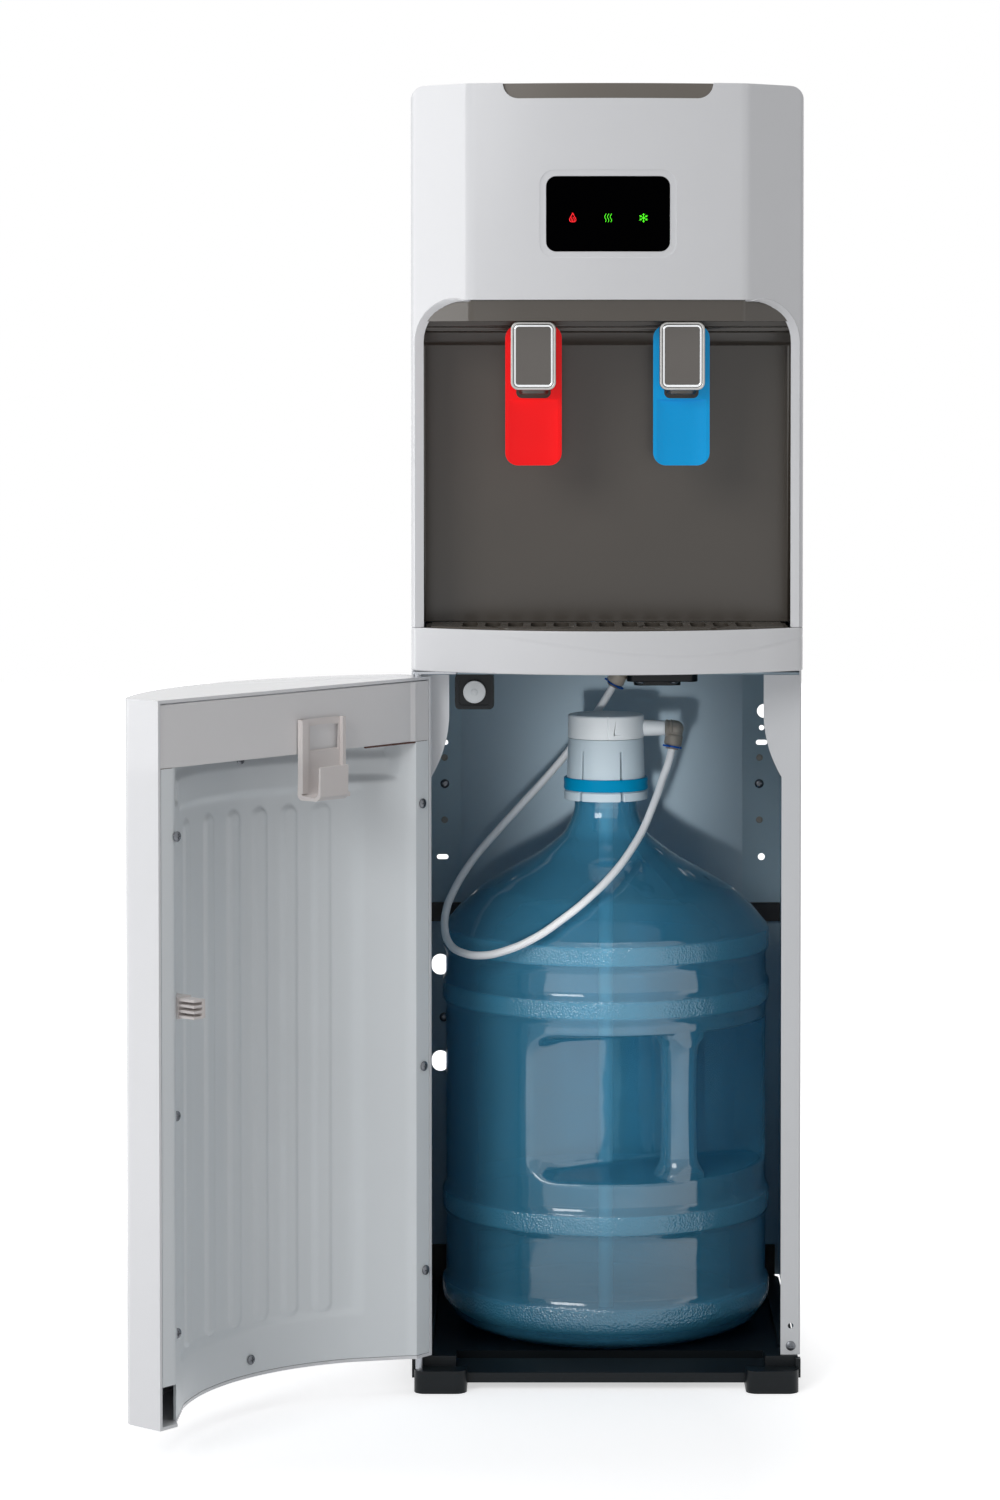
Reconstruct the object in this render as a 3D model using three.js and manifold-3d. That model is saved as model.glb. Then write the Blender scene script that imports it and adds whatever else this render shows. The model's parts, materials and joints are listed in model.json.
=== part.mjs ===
// A bottom load water cooler: a steel cabinet with a dispensing bay on top and a bottle compartment below.
// Millimetres, +Z up, +X to the right, the front towards -Y. The origin is on the floor,
// at the middle of the cabinet's width, in line with the bottle's axis from front to back.
import * as THREE from "three";
import { mergeVertices } from "three/addons/utils/BufferGeometryUtils.js";
import Module from "manifold-3d";

const wasm = await Module();
wasm.setup();

// ---------- driving dimensions ----------
const CLEAR = 0.3; // gap between pieces that touch
const HALF_WIDTH = 154; // white mouldings, centre to side
const HEIGHT = 1034.5; // floor to the top of the head
const FLANGE_Y = -150; // front face of the steel side panels
const BACK_Y = 142; // rear face of the steel side panels
const BOW_DEPTH = 88; // how far the front bulges ahead of the flange plane
const BOW_RADIUS = 258.4; // plan radius of the apron and the door
const BOW_CORNER = 10; // plan radius where the bow turns into the side
const HEAD_RADIUS = 483; // plan radius of the flatter middle of the head
const CREASE_X = HALF_WIDTH - 47; // soft vertical creases of the head
const SHEET = 1; // steel sheet
const MOULD = 3; // wall of the white mouldings
const PANEL_HALF = HALF_WIDTH + 1; // outer face of the steel sides
const FLANGE_X = PANEL_HALF - 15.7; // inner edge of the front flanges
const CHEEK_X = PANEL_HALF - 30; // inner edge of the flanges' cheeks at the top
const CHEEK_Z = [489, 512, 537]; // start, middle and end of the cheek's curve
const REAR_FLANGE_X = PANEL_HALF - 33.5; // inner edge of the rear flanges
const PANEL_TOP = HEIGHT - 30; // top of the steel sides
const HOLE_X = PANEL_HALF - 17; // row of small holes in the rear flanges
const WIDE_HOLE_X = PANEL_HALF - 15; // row of large holes in the rear flanges
const FLANGE_SCREW = { x: PANEL_HALF - 7.6, z: 49.5, r: 2.3 }; // low on the right front flange

const BASE_TOP = 26; // top of the black base
const WELL_FLOOR = 20; // where the bottle stands
const FOOT_WIDTH = 42;
const ARCH = 5; // height of the arch between the feet
const BASE_FRONT = 22; // how far the feet reach ahead of the flange plane

const DOOR_BOTTOM = 30;
const DOOR_TOP = 571;
const DOOR_HALF = HALF_WIDTH - 1;
const DOOR_GAP = 3; // door's inner plane ahead of the flange plane
const DOOR_WALL = 2.5;
const DOOR_OPEN = 129.3; // degrees, the photographed pose
const PIN_X = -(HALF_WIDTH - 5);
const PIN_AHEAD = 13; // hinge pin axis ahead of the flange plane
const PIN_R = 3;
const BOSS_R = PIN_R + 1.2; // sleeves in the door that take the pins
const BOSS_LENGTH = 18;
const BAND_BOTTOM = 520.5; // flat band across the top of the door's inside
const BAND_HALF = DOOR_HALF - 3;
const LINER_DEPTH = BOW_DEPTH - 24; // the liner's deepest point ahead of the flange plane
const LINER_WALL = 2;
// The liner's plan line on the right up to its curved middle, as [x, distance ahead of the flange plane].
const LINER_SIDE = [
  [DOOR_HALF - 3.2, DOOR_GAP],
  [DOOR_HALF - 18, DOOR_GAP],
  [DOOR_HALF - 23, 9],
  [DOOR_HALF - 59, 37],
];
const CATCH = { x: DOOR_HALF - 31, bottom: 332.5, top: 349.5, half: 7.5 };
const HOOK_WALL = 2.5;
const HOOK = { left: -46, right: 3, lipLeft: -28, bottom: 485.5, top: 547, lipTop: 512, reach: 24 };

const APRON_BOTTOM = 577;
const APRON_TOP = 611;
const BAY_HALF = HALF_WIDTH - 10;
const BAY_TOP = 867; // lower edge of the head
const BAY_CEILING = 851;
const BAY_CORNER = 30;
const BAY_BACK_Y = -130;
const BAY_WALL = 2.5;
const SHELF_Z = 571; // underside of the compartment's roof
const SHELF_SHEET = 1.5;

const TAP_X = 57.7;
const LEVER_WIDTH = 44;
const LEVER_BOTTOM = 738.5;
const LEVER_PIVOT_Z = 843;
const NOTCH_WIDTH = 27;
const NOTCH_Z = 791;
const CAP_WIDTH = 35;
const CAP_BOTTOM = 797.5;
const CAP_AHEAD = BOW_DEPTH - 12; // front of the tap's cap ahead of the flange plane
const CAP_DEPTH = 16;
const TAP_DEPTH = 30; // from the cap's back to the back of the tap's body
const TAP_HALF = NOTCH_WIDTH / 2 - 1; // the body stands in the lever's notch
const TAP_TOP = BAY_CEILING + 22;
const LEVER_PIN_HALF = LEVER_WIDTH / 2 - 4;
const LEVER_PIN_R = 2;

const DISPLAY = { width: 95.2, height: 57.6, z: 933.5, corner: 7.5 };
const NOTCH = { top: 162.5, bottom: 138, depth: 12 };

const BOTTLE = { x: 1.5, y: 0, wall: 1.6, band: 136, body: 133, neck: 26, top: 503 };
const HANDLE = { angle: 30, floor: 78, bottom: 163, top: 275, bar: 16, reach: 117 };
const LID = { r: BOTTLE.neck + 5.5, bottom: BOTTLE.top + 4.5, top: BOTTLE.top + 23.7 };
const SPIGOT = { r: 6.5, z: BOTTLE.top + 12, end: 49 }; // side outlet of the lid
const COLLAR = {
  inner: BOTTLE.neck + 0.6,
  lip: BOTTLE.neck + 8.4,
  waist: BOTTLE.neck + 6.4,
  low: BOTTLE.top - 46,
};
const ELBOW_END = [56.5, -1.5, 498.6]; // where the hose enters the lid's elbow
const DIP = { r: 6, bore: 4.6, bottom: 30 };

const PUMP = { left: 19, right: 78, front: 2, back: 58, bottom: 551 };
const FITTING = { x: 12, y: 30, z: 560 }; // corner of the pump's inlet elbow
const SUPPLY = { x: 60, y: 30 }; // where the supply line passes the roof
const RISER = { x: 90, y: 18 }; // where it passes the tank platform
const LINE_R = 4; // water lines
const HOSE_R = 3.2;
// Middle line of the hose, from the lid's elbow round the bottle's shoulder to the pump.
const HOSE_ROUTE = [
  [56.3, -1.2, 497.8],
  [53.6, -4.4, 487.1],
  [48.6, -10.0, 474.2],
  [43.8, -20.0, 461.7],
  [39.1, -30.0, 451.2],
  [32.5, -44.0, 437.5],
  [23.9, -62.0, 424.7],
  [6.8, -90.0, 405.2],
  [-16.2, -114.0, 385.6],
  [-34.7, -123.0, 372.1],
  [-57.2, -129.0, 357.7],
  [-83.9, -126.0, 346.0],
  [-100.6, -119.0, 342.2],
  [-115.0, -107.0, 342.5],
  [-125.7, -92.0, 347.0],
  [-130.8, -72.0, 358.8],
  [-129.6, -57.0, 371.4],
  [-126.8, -47.0, 379.1],
  [-110.5, -20.0, 405.0],
  [-89.7, 2.0, 427.8],
  [-68.6, 20.0, 449.2],
  [-47.1, BOTTLE.neck + 8, 471.3],
  [-25.7, BOTTLE.neck + 14, 496.7],
  [-5.3, BOTTLE.neck + 12, 525.5],
  [5.3, 31.0, 542.9],
  [8.6, 30.0, 549.3],
];

const SWITCH = { x: -(HALF_WIDTH - 49), z: 557, half: 15.5, bottom: 543, depth: 26 };
const SWITCH_DISC_R = 8.9;
const SWITCH_STEM_R = 4.2;

const PLATFORM_Z = 765;
const PLATFORM_SHEET = 2;
const COLD = { x: 0, y: -15, r: 62, jacket: 76, bottom: 790, top: 965 };
const HOT = { x: 78, y: 82, r: 44, top: 745 };
const HEATER = { bottom: 640, top: 690 };
const COMPRESSOR = { x: -72, y: 70, r: 58, top: 722 };

const COIL = { half: 95, low: 300, pitch: 44, rows: 7, r: 2.6, lugX: 80 }; // condenser
const ROCKER_X = [-28, 28];
const ROCKER_Z = 960;
const INLET_X = -70;
const INLET_Z = 600;
const DRAIN_X = HOT.x;
const DRAIN_Z = 612;

const bowFront = FLANGE_Y - BOW_DEPTH;
const doorPlane = FLANGE_Y - DOOR_GAP;
const pinY = FLANGE_Y - PIN_AHEAD;
const panelInner = PANEL_HALF - SHEET;
const fitX = panelInner - CLEAR; // widest that fits between the side panels
const apronFloor = APRON_BOTTOM + 2;
const tapFront = FLANGE_Y - CAP_AHEAD + CAP_DEPTH; // front of the taps' bodies
const leverPinY = tapFront + 10;
const nozzleY = tapFront + 13;
const shelfTop = SHELF_Z + SHELF_SHEET + CLEAR;
const hotFloor = shelfTop + 14;
const rearFace = BACK_Y + SHEET + 2 * CLEAR; // outer face of the back panel, with its gap

// ---------- solids ----------
function solid(geometry) {
  const bare = geometry.index ? geometry.toNonIndexed() : geometry.clone();
  bare.deleteAttribute("normal");
  bare.deleteAttribute("uv");
  const merged = mergeVertices(bare, 1e-4);
  const triVerts = new Uint32Array(merged.index.array);
  const vertProperties = new Float32Array(merged.attributes.position.array);
  const made = new wasm.Manifold(new wasm.Mesh({ numProp: 3, vertProperties, triVerts }));
  if (made.volume() > 0) return made;
  for (let i = 0; i < triVerts.length; i += 3) {
    [triVerts[i + 1], triVerts[i + 2]] = [triVerts[i + 2], triVerts[i + 1]];
  }
  return new wasm.Manifold(new wasm.Mesh({ numProp: 3, vertProperties, triVerts }));
}

function geometryOf(body) {
  const mesh = body.getMesh();
  const geometry = new THREE.BufferGeometry();
  const points = new Float32Array(mesh.numVert * 3);
  for (let i = 0; i < mesh.numVert; i++) {
    for (let axis = 0; axis < 3; axis++) {
      points[i * 3 + axis] = mesh.vertProperties[i * mesh.numProp + axis];
    }
  }
  geometry.setAttribute("position", new THREE.BufferAttribute(points, 3));
  geometry.setIndex(new THREE.BufferAttribute(new Uint32Array(mesh.triVerts), 1));
  const flat = geometry.toNonIndexed();
  flat.computeVertexNormals();
  return flat;
}

const join = (first, ...rest) => rest.reduce((whole, piece) => whole.add(piece), first);
const cut = (first, ...rest) => rest.reduce((whole, piece) => whole.subtract(piece), first);

function block(x0, x1, y0, y1, z0, z1) {
  const geometry = new THREE.BoxGeometry(x1 - x0, y1 - y0, z1 - z0);
  return solid(geometry.translate((x0 + x1) / 2, (y0 + y1) / 2, (z0 + z1) / 2));
}

// An outline drawn in X and Y, raised from z0 to z1.
function prism(shape, z0, z1, curveSegments = 3) {
  const geometry = new THREE.ExtrudeGeometry(shape, { depth: z1 - z0, bevelEnabled: false, curveSegments });
  return solid(geometry.translate(0, 0, z0));
}

// An outline drawn in X and Z, carried from y0 to y1.
function prismY(shape, y0, y1, curveSegments = 3) {
  const geometry = new THREE.ExtrudeGeometry(shape, { depth: y1 - y0, bevelEnabled: false, curveSegments });
  return solid(geometry.rotateX(Math.PI / 2).translate(0, y1, 0));
}

// An outline drawn in Y and Z, carried from x0 to x1.
function prismX(shape, x0, x1, curveSegments = 3) {
  const geometry = new THREE.ExtrudeGeometry(shape, { depth: x1 - x0, bevelEnabled: false, curveSegments });
  const turn = new THREE.Matrix4().makeBasis(
    new THREE.Vector3(0, 1, 0),
    new THREE.Vector3(0, 0, 1),
    new THREE.Vector3(1, 0, 0),
  );
  return solid(geometry.applyMatrix4(turn).translate(x0, 0, 0));
}

// A round bar between two points.
function bar(from, to, r0, r1 = r0, sides = 14) {
  const a = new THREE.Vector3(...from);
  const b = new THREE.Vector3(...to);
  const along = b.clone().sub(a);
  const geometry = new THREE.CylinderGeometry(r1, r0, along.length(), sides);
  const turn = new THREE.Quaternion().setFromUnitVectors(new THREE.Vector3(0, 1, 0), along.normalize());
  return solid(geometry.applyQuaternion(turn).translate(...a.add(b).multiplyScalar(0.5).toArray()));
}

// A profile of [radius, height] pairs turned about a vertical axis.
function turned(profile, x, y, sides = 20) {
  const points = profile.map(([r, z]) => new THREE.Vector2(r, z));
  return solid(new THREE.LatheGeometry(points, sides).rotateX(Math.PI / 2).translate(x, y, 0));
}

function ring(x, y, inner, outer, z0, z1, sides = 20) {
  return turned([[inner, z0], [outer, z0], [outer, z1], [inner, z1], [inner, z0]], x, y, sides);
}

function outline(points) {
  return new THREE.Shape(points.map(([x, y]) => new THREE.Vector2(x, y)));
}

function rounded(x0, x1, y0, y1, r) {
  const shape = new THREE.Shape();
  shape.moveTo(x0 + r, y0);
  shape.lineTo(x1 - r, y0);
  shape.absarc(x1 - r, y0 + r, r, -Math.PI / 2, 0);
  shape.lineTo(x1, y1 - r);
  shape.absarc(x1 - r, y1 - r, r, 0, Math.PI / 2);
  shape.lineTo(x0 + r, y1);
  shape.absarc(x0 + r, y1 - r, r, Math.PI / 2, Math.PI);
  shape.lineTo(x0, y0 + r);
  shape.absarc(x0 + r, y0 + r, r, Math.PI, Math.PI * 1.5);
  return shape;
}

function tube(points, radius, sides, steps) {
  const path = new THREE.CatmullRomCurve3(points.map((p) => new THREE.Vector3(...p)), false, "centripetal");
  const section = new THREE.Shape();
  for (let i = 0; i < sides; i++) {
    const angle = (i / sides) * Math.PI * 2;
    const [x, y] = [Math.cos(angle) * radius, Math.sin(angle) * radius];
    if (i) section.lineTo(x, y);
    else section.moveTo(x, y);
  }
  return solid(new THREE.ExtrudeGeometry(section, { steps, extrudePath: path, bevelEnabled: false }));
}

// ---------- the bowed front in plan ----------
// Half of the bow from the middle to the side, as [x, distance ahead of the flange plane].
function bowHalf(half, smooth) {
  const corner = BOW_CORNER;
  const middleRadius = smooth ? BOW_RADIUS : HEAD_RADIUS;
  const points = [];
  const cornerX = half - corner;
  const drop = BOW_RADIUS - Math.sqrt((BOW_RADIUS - corner) ** 2 - cornerX ** 2);
  const cornerAhead = BOW_DEPTH - drop; // centre of the corner's arc
  let from = Math.asin(cornerX / (BOW_RADIUS - corner));
  const end = smooth ? from : Math.asin(CREASE_X / middleRadius);
  const steps = smooth ? 10 : 5;
  for (let i = 0; i < steps; i++) {
    const angle = (end * i) / steps;
    points.push([middleRadius * Math.sin(angle), BOW_DEPTH - middleRadius * (1 - Math.cos(angle))]);
  }
  if (!smooth) {
    const crease = [CREASE_X, BOW_DEPTH - middleRadius * (1 - Math.cos(end))];
    points.push(crease);
    const [dx, dy] = [cornerX - crease[0], crease[1] - cornerAhead];
    from = Math.atan2(dy, dx) - Math.asin(corner / Math.hypot(dx, dy));
  }
  for (let i = 0; i <= 4; i++) {
    const angle = from + ((Math.PI / 2 - from) * i) / 4;
    points.push([cornerX + corner * Math.sin(angle), cornerAhead + corner * Math.cos(angle)]);
  }
  return points;
}

// The same curve moved inwards, then closed by a straight back at backY.
function bowShape(half, smooth, inset, backY) {
  const right = bowHalf(half, smooth);
  const left = right.slice(1).reverse().map(([x, ahead]) => [-x, ahead]);
  const curve = [[-half, -400], ...left, ...right, [half, -400]].map(([x, ahead]) => [x, FLANGE_Y - ahead]);
  const moved = [];
  for (let i = 1; i < curve.length - 1; i++) {
    const [last, here, next] = curve.slice(i - 1, i + 2);
    const before = new THREE.Vector2(here[0] - last[0], here[1] - last[1]).normalize();
    const after = new THREE.Vector2(next[0] - here[0], next[1] - here[1]).normalize();
    const mean = before.clone().add(after).normalize();
    const reach = inset / mean.dot(before);
    moved.push([here[0] - mean.y * reach, here[1] + mean.x * reach]);
  }
  moved.unshift([moved[0][0], backY]);
  moved.push([moved[moved.length - 1][0], backY]);
  return outline(moved);
}

// ---------- base ----------
function baseTray() {
  const half = HALF_WIDTH - 1;
  const front = FLANGE_Y - BASE_FRONT;
  const rear = BACK_Y - 2;
  const inner = half - FOOT_WIDTH;
  const feet = [-1, 1].map((side) => {
    const [x0, x1] = side < 0 ? [-half, -inner] : [inner, half];
    return prism(rounded(x0, x1, front, rear, 8), 0, BASE_TOP);
  });
  const floor = block(-inner - 1, inner + 1, FLANGE_Y - 4, rear, ARCH, WELL_FLOOR);
  const rib = block(-inner - 1, inner + 1, -8, 8, 0, ARCH + 1);
  const rearRib = block(-inner - 1, inner + 1, rear - 12, rear, 0, ARCH + 1);
  const rearWall = block(-half + 3, half - 3, rear - 3, rear, WELL_FLOOR - 1, 46);
  const wellShape = rounded(-half + 13, half - 13, FLANGE_Y + 8, rear - 3, 24);
  const well = prism(wellShape, WELL_FLOOR, BASE_TOP + 1);
  const lip = block(-inner - 9, inner + 16, FLANGE_Y - 5, FLANGE_Y + 40, 13, WELL_FLOOR + 7);
  const lipSlope = prismX(
    outline([[FLANGE_Y - 5, 5], [FLANGE_Y + 14, 5], [FLANGE_Y + 14, WELL_FLOOR], [FLANGE_Y - 5, 13]]),
    -inner - 9,
    inner + 16,
  );
  const pinHole = bar([PIN_X, pinY, BASE_TOP - 12], [PIN_X, pinY, BASE_TOP + 1], PIN_R + CLEAR);
  const whole = join(feet[0], feet[1], floor, rib, rearRib, rearWall);
  return cut(join(cut(whole, well, lip), lipSlope), pinHole);
}

// ---------- steel panels ----------
function flangeOutline(side) {
  const shape = new THREE.Shape();
  shape.moveTo(side * PANEL_HALF, BASE_TOP + CLEAR);
  shape.lineTo(side * FLANGE_X, BASE_TOP + CLEAR);
  shape.lineTo(side * FLANGE_X, CHEEK_Z[0]);
  shape.quadraticCurveTo(side * (CHEEK_X + 1), CHEEK_Z[1], side * CHEEK_X, CHEEK_Z[2]);
  shape.lineTo(side * CHEEK_X, SHELF_Z - CLEAR);
  shape.lineTo(side * PANEL_HALF, SHELF_Z - CLEAR);
  return shape;
}

function slotHole(x, z, length, height) {
  const r = Math.min(length, height) / 2 - 0.01;
  const shape = rounded(x - length / 2, x + length / 2, z - height / 2, z + height / 2, r);
  return prismY(shape, BACK_Y - 5, BACK_Y + 5, 4);
}

function sidePanel(side) {
  const low = BASE_TOP + CLEAR;
  const [x0, x1] = side < 0 ? [-PANEL_HALF, -panelInner] : [panelInner, PANEL_HALF];
  const wall = block(x0, x1, FLANGE_Y, BACK_Y, low, PANEL_TOP);
  const flange = prismY(flangeOutline(side), FLANGE_Y, FLANGE_Y + SHEET);
  const [r0, r1] = side < 0 ? [-PANEL_HALF, -REAR_FLANGE_X] : [REAR_FLANGE_X, PANEL_HALF];
  const rear = block(r0, r1, BACK_Y - SHEET, BACK_Y, low, PANEL_TOP);
  const bent = join(wall, flange, rear);
  const upper = slotHole(side * HOLE_X, 489.8, 9.8, 4.4);
  if (side > 0) {
    const { x, z, r } = FLANGE_SCREW;
    return cut(
      bent,
      upper,
      slotHole(HOLE_X, 390.5, 6, 6),
      slotHole(WIDE_HOLE_X, 517, 12, 12),
      slotHole(HOLE_X, 502.5, 4.6, 4.6),
      bar([x, FLANGE_Y - 1, z], [x, FLANGE_Y + 2, z], r, r, 12),
    );
  }
  return cut(
    bent,
    upper,
    slotHole(-HOLE_X, 390.5, 10, 4.3),
    slotHole(-WIDE_HOLE_X, 297, 15, 18),
    slotHole(-WIDE_HOLE_X, 213, 15, 18),
  );
}

function backPanel() {
  const y0 = BACK_Y + CLEAR;
  const half = REAR_FLANGE_X + 8.5;
  const plate = block(-half, half, y0, y0 + SHEET, BASE_TOP + 24, PANEL_TOP - 1);
  const vents = [];
  for (let row = 0; row < 8; row++) {
    vents.push(block(-90, -10, y0 - 1, y0 + 3, 620 + row * 9, 624 + row * 9));
    vents.push(block(10, 90, y0 - 1, y0 + 3, 620 + row * 9, 624 + row * 9));
  }
  const windows = ROCKER_X.map((x) =>
    block(x - 10.5, x + 10.5, y0 - 1, y0 + 3, ROCKER_Z - 10, ROCKER_Z + 10),
  );
  const inlet = block(INLET_X - 14, INLET_X + 14, y0 - 1, y0 + 3, INLET_Z - 10.5, INLET_Z + 10.5);
  const drain = bar([DRAIN_X, y0 - 1, DRAIN_Z], [DRAIN_X, y0 + 3, DRAIN_Z], 9.5);
  return cut(plate, ...vents, ...windows, inlet, drain);
}

function shelfPlate() {
  const [front, back] = [FLANGE_Y + SHEET + CLEAR, BACK_Y - SHEET - CLEAR];
  const plate = block(-fitX, fitX, front, back, SHELF_Z, SHELF_Z + SHELF_SHEET);
  const linePass = bar([SUPPLY.x, SUPPLY.y, SHELF_Z - 1], [SUPPLY.x, SUPPLY.y, SHELF_Z + 3], 5.5);
  return cut(plate, linePass);
}

// ---------- door, drawn closed and swung open about its pins ----------
function doorShell() {
  const outer = prism(bowShape(DOOR_HALF, true, 0, doorPlane), DOOR_BOTTOM, DOOR_TOP);
  const hollow = bowShape(DOOR_HALF, true, DOOR_WALL, doorPlane + 1);
  const room = prism(hollow, DOOR_BOTTOM + DOOR_WALL, DOOR_TOP - DOOR_WALL);
  const mouthLine = linerLine(0).filter(([x]) => Math.abs(x) < DOOR_HALF - 13);
  const mouthEnds = [[-DOOR_HALF + 18, doorPlane + 1], [DOOR_HALF - 18, doorPlane + 1]];
  const mouth = prism(outline([...mouthLine, ...mouthEnds]), DOOR_BOTTOM - 1, DOOR_BOTTOM + 6);
  const upright = (r, z0, z1, sides) => bar([PIN_X, pinY, z0], [PIN_X, pinY, z1], r, r, sides);
  const beyond = (z0, z1) => block(PIN_X - 20, PIN_X + 20, pinY - 20, pinY + 20, z0, z1);
  const low = upright(BOSS_R, DOOR_BOTTOM - 1, DOOR_BOTTOM + BOSS_LENGTH, 16);
  const high = upright(BOSS_R, DOOR_TOP - BOSS_LENGTH, DOOR_TOP + 1, 16);
  const lowBoss = low.subtract(beyond(DOOR_BOTTOM - 5, DOOR_BOTTOM));
  const highBoss = high.subtract(beyond(DOOR_TOP, DOOR_TOP + 5));
  const lowBore = upright(PIN_R + CLEAR, DOOR_BOTTOM - 2, DOOR_BOTTOM + BOSS_LENGTH + 2, 14);
  const highBore = upright(PIN_R + CLEAR, DOOR_TOP - BOSS_LENGTH - 2, DOOR_TOP + 2, 14);
  return cut(join(cut(outer, room, mouth), lowBoss, highBoss), lowBore, highBore);
}

// The liner's whole plan line, moved outwards by extra.
function linerLine(extra) {
  const ends = LINER_SIDE.map(([x, ahead]) => [x, ahead + extra]);
  const middle = [];
  const [edgeX, edgeAhead] = ends[ends.length - 1];
  const rise = LINER_DEPTH + extra - edgeAhead;
  const radius = (edgeX ** 2 + rise ** 2) / (2 * rise);
  for (let i = -5; i <= 5; i++) {
    const x = (edgeX * -i) / 6;
    middle.push([x, LINER_DEPTH + extra - (radius - Math.sqrt(radius ** 2 - x ** 2))]);
  }
  const mirrored = ends.map(([x, ahead]) => [-x, ahead]).reverse();
  return [...ends, ...middle, ...mirrored].map(([x, ahead]) => [x, FLANGE_Y - ahead]);
}

function doorLiner() {
  const inner = linerLine(0);
  const outer = linerLine(LINER_WALL).reverse();
  const sheet = prism(outline([...inner, ...outer]), DOOR_BOTTOM + 7, DOOR_TOP - 3);
  const bandLow = BAND_BOTTOM - CLEAR;
  const behindBand = block(-BAND_HALF, BAND_HALF, doorPlane - 6, doorPlane + 1, bandLow, DOOR_TOP);
  const { x, half, bottom, top } = CATCH;
  const catchSlot = block(x - half, x + half, doorPlane - 30, doorPlane + 1, bottom, top);
  const pins = [[DOOR_BOTTOM, DOOR_BOTTOM + 20], [DOOR_TOP - 20, DOOR_TOP]].map(([z0, z1]) =>
    block(PIN_X - 5, PIN_X + 5, pinY - 5, pinY + 5, z0, z1),
  );
  return cut(sheet, behindBand, catchSlot, ...pins);
}

function doorBand() {
  return block(-BAND_HALF, BAND_HALF, doorPlane - 2.5, doorPlane, BAND_BOTTOM, DOOR_TOP - 3);
}

function probeHook() {
  const { left, right, lipLeft, bottom, top, lipTop, reach } = HOOK;
  const wall = HOOK_WALL;
  const back = doorPlane + CLEAR;
  const plate = block(left, right, back, back + wall, bottom, top);
  const shelf = block(left, right, back, back + reach, bottom, bottom + wall);
  const lip = block(lipLeft, right, back + reach - wall, back + reach, bottom, lipTop);
  const corner = block(left - 1, lipLeft, back + reach / 2, back + reach + 6, bottom - 1, bottom + 4);
  return cut(join(plate, shelf, lip), corner);
}

function doorCatch() {
  const { x, bottom, top, half } = CATCH;
  const [rootLow, rootHigh] = [bottom + CLEAR, top - CLEAR];
  const rootHalf = half - CLEAR;
  const root = block(x - rootHalf, x + rootHalf, doorPlane - 22, doorPlane - 4, rootLow, rootHigh);
  const stem = block(x - 6, x - 3, doorPlane - 5, doorPlane + 12, bottom + 1.5, top - 1.5);
  const ribs = [0, 1, 2, 3].map((i) => {
    const z = bottom + 1 + i * 4.2;
    return block(x - 4, x + 6, doorPlane - 2, doorPlane + 12, z, z + 2);
  });
  return join(root, stem, ...ribs);
}

// ---------- hinges ----------
function upperHinge() {
  const plan = rounded(PIN_X - 4.5, PIN_X + 31, pinY - 8, FLANGE_Y + 20, 4);
  const plate = prism(plan, shelfTop, shelfTop + 2);
  const pin = bar([PIN_X, pinY, DOOR_TOP - 16], [PIN_X, pinY, shelfTop + 1], PIN_R);
  return join(plate, pin);
}

function lowerPin() {
  return bar([PIN_X, pinY, BASE_TOP - 11.5], [PIN_X, pinY, DOOR_BOTTOM + 16], PIN_R);
}

// ---------- white mouldings ----------
function apron() {
  const outer = prism(bowShape(HALF_WIDTH, true, 0, FLANGE_Y), APRON_BOTTOM, APRON_TOP);
  const room = prism(bowShape(HALF_WIDTH, true, MOULD, FLANGE_Y + 1), apronFloor, APRON_TOP + 1);
  return cut(outer, room);
}

function headEdges() {
  return prismY(rounded(-HALF_WIDTH, HALF_WIDTH, 400, HEIGHT, 10), bowFront - 5, BACK_Y + 40, 4);
}

function bayOpening(half, top, corner, y0, y1) {
  const shape = new THREE.Shape();
  shape.moveTo(-half, APRON_TOP - 40);
  shape.lineTo(half, APRON_TOP - 40);
  shape.lineTo(half, top - corner);
  shape.absarc(half - corner, top - corner, corner, 0, Math.PI / 2);
  shape.lineTo(-half + corner, top);
  shape.absarc(-half + corner, top - corner, corner, Math.PI / 2, Math.PI);
  return prismY(shape, y0, y1, 6);
}

function displayOpening(grow, y0, y1) {
  const [w, h] = [DISPLAY.width / 2 + grow, DISPLAY.height / 2 + grow];
  return prismY(rounded(-w, w, DISPLAY.z - h, DISPLAY.z + h, DISPLAY.corner), y0, y1, 5);
}

function headFascia() {
  const outer = prism(bowShape(HALF_WIDTH, false, 0, FLANGE_Y), APRON_TOP + CLEAR, HEIGHT);
  const room = prism(bowShape(HALF_WIDTH, false, MOULD, FLANGE_Y + 1), APRON_TOP - 5, HEIGHT + 5);
  const notch = prismY(
    outline([
      [-NOTCH.bottom / 2, HEIGHT - NOTCH.depth],
      [NOTCH.bottom / 2, HEIGHT - NOTCH.depth],
      [NOTCH.top / 2, HEIGHT + 1],
      [-NOTCH.top / 2, HEIGHT + 1],
    ]),
    bowFront - 5,
    bowFront + 30,
  );
  const bay = bayOpening(BAY_HALF, BAY_TOP, BAY_CORNER + 2, bowFront - 5, FLANGE_Y + 5);
  const display = displayOpening(CLEAR, bowFront - 5, bowFront + 20);
  return cut(outer, room, notch, bay, display).intersect(headEdges());
}

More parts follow.
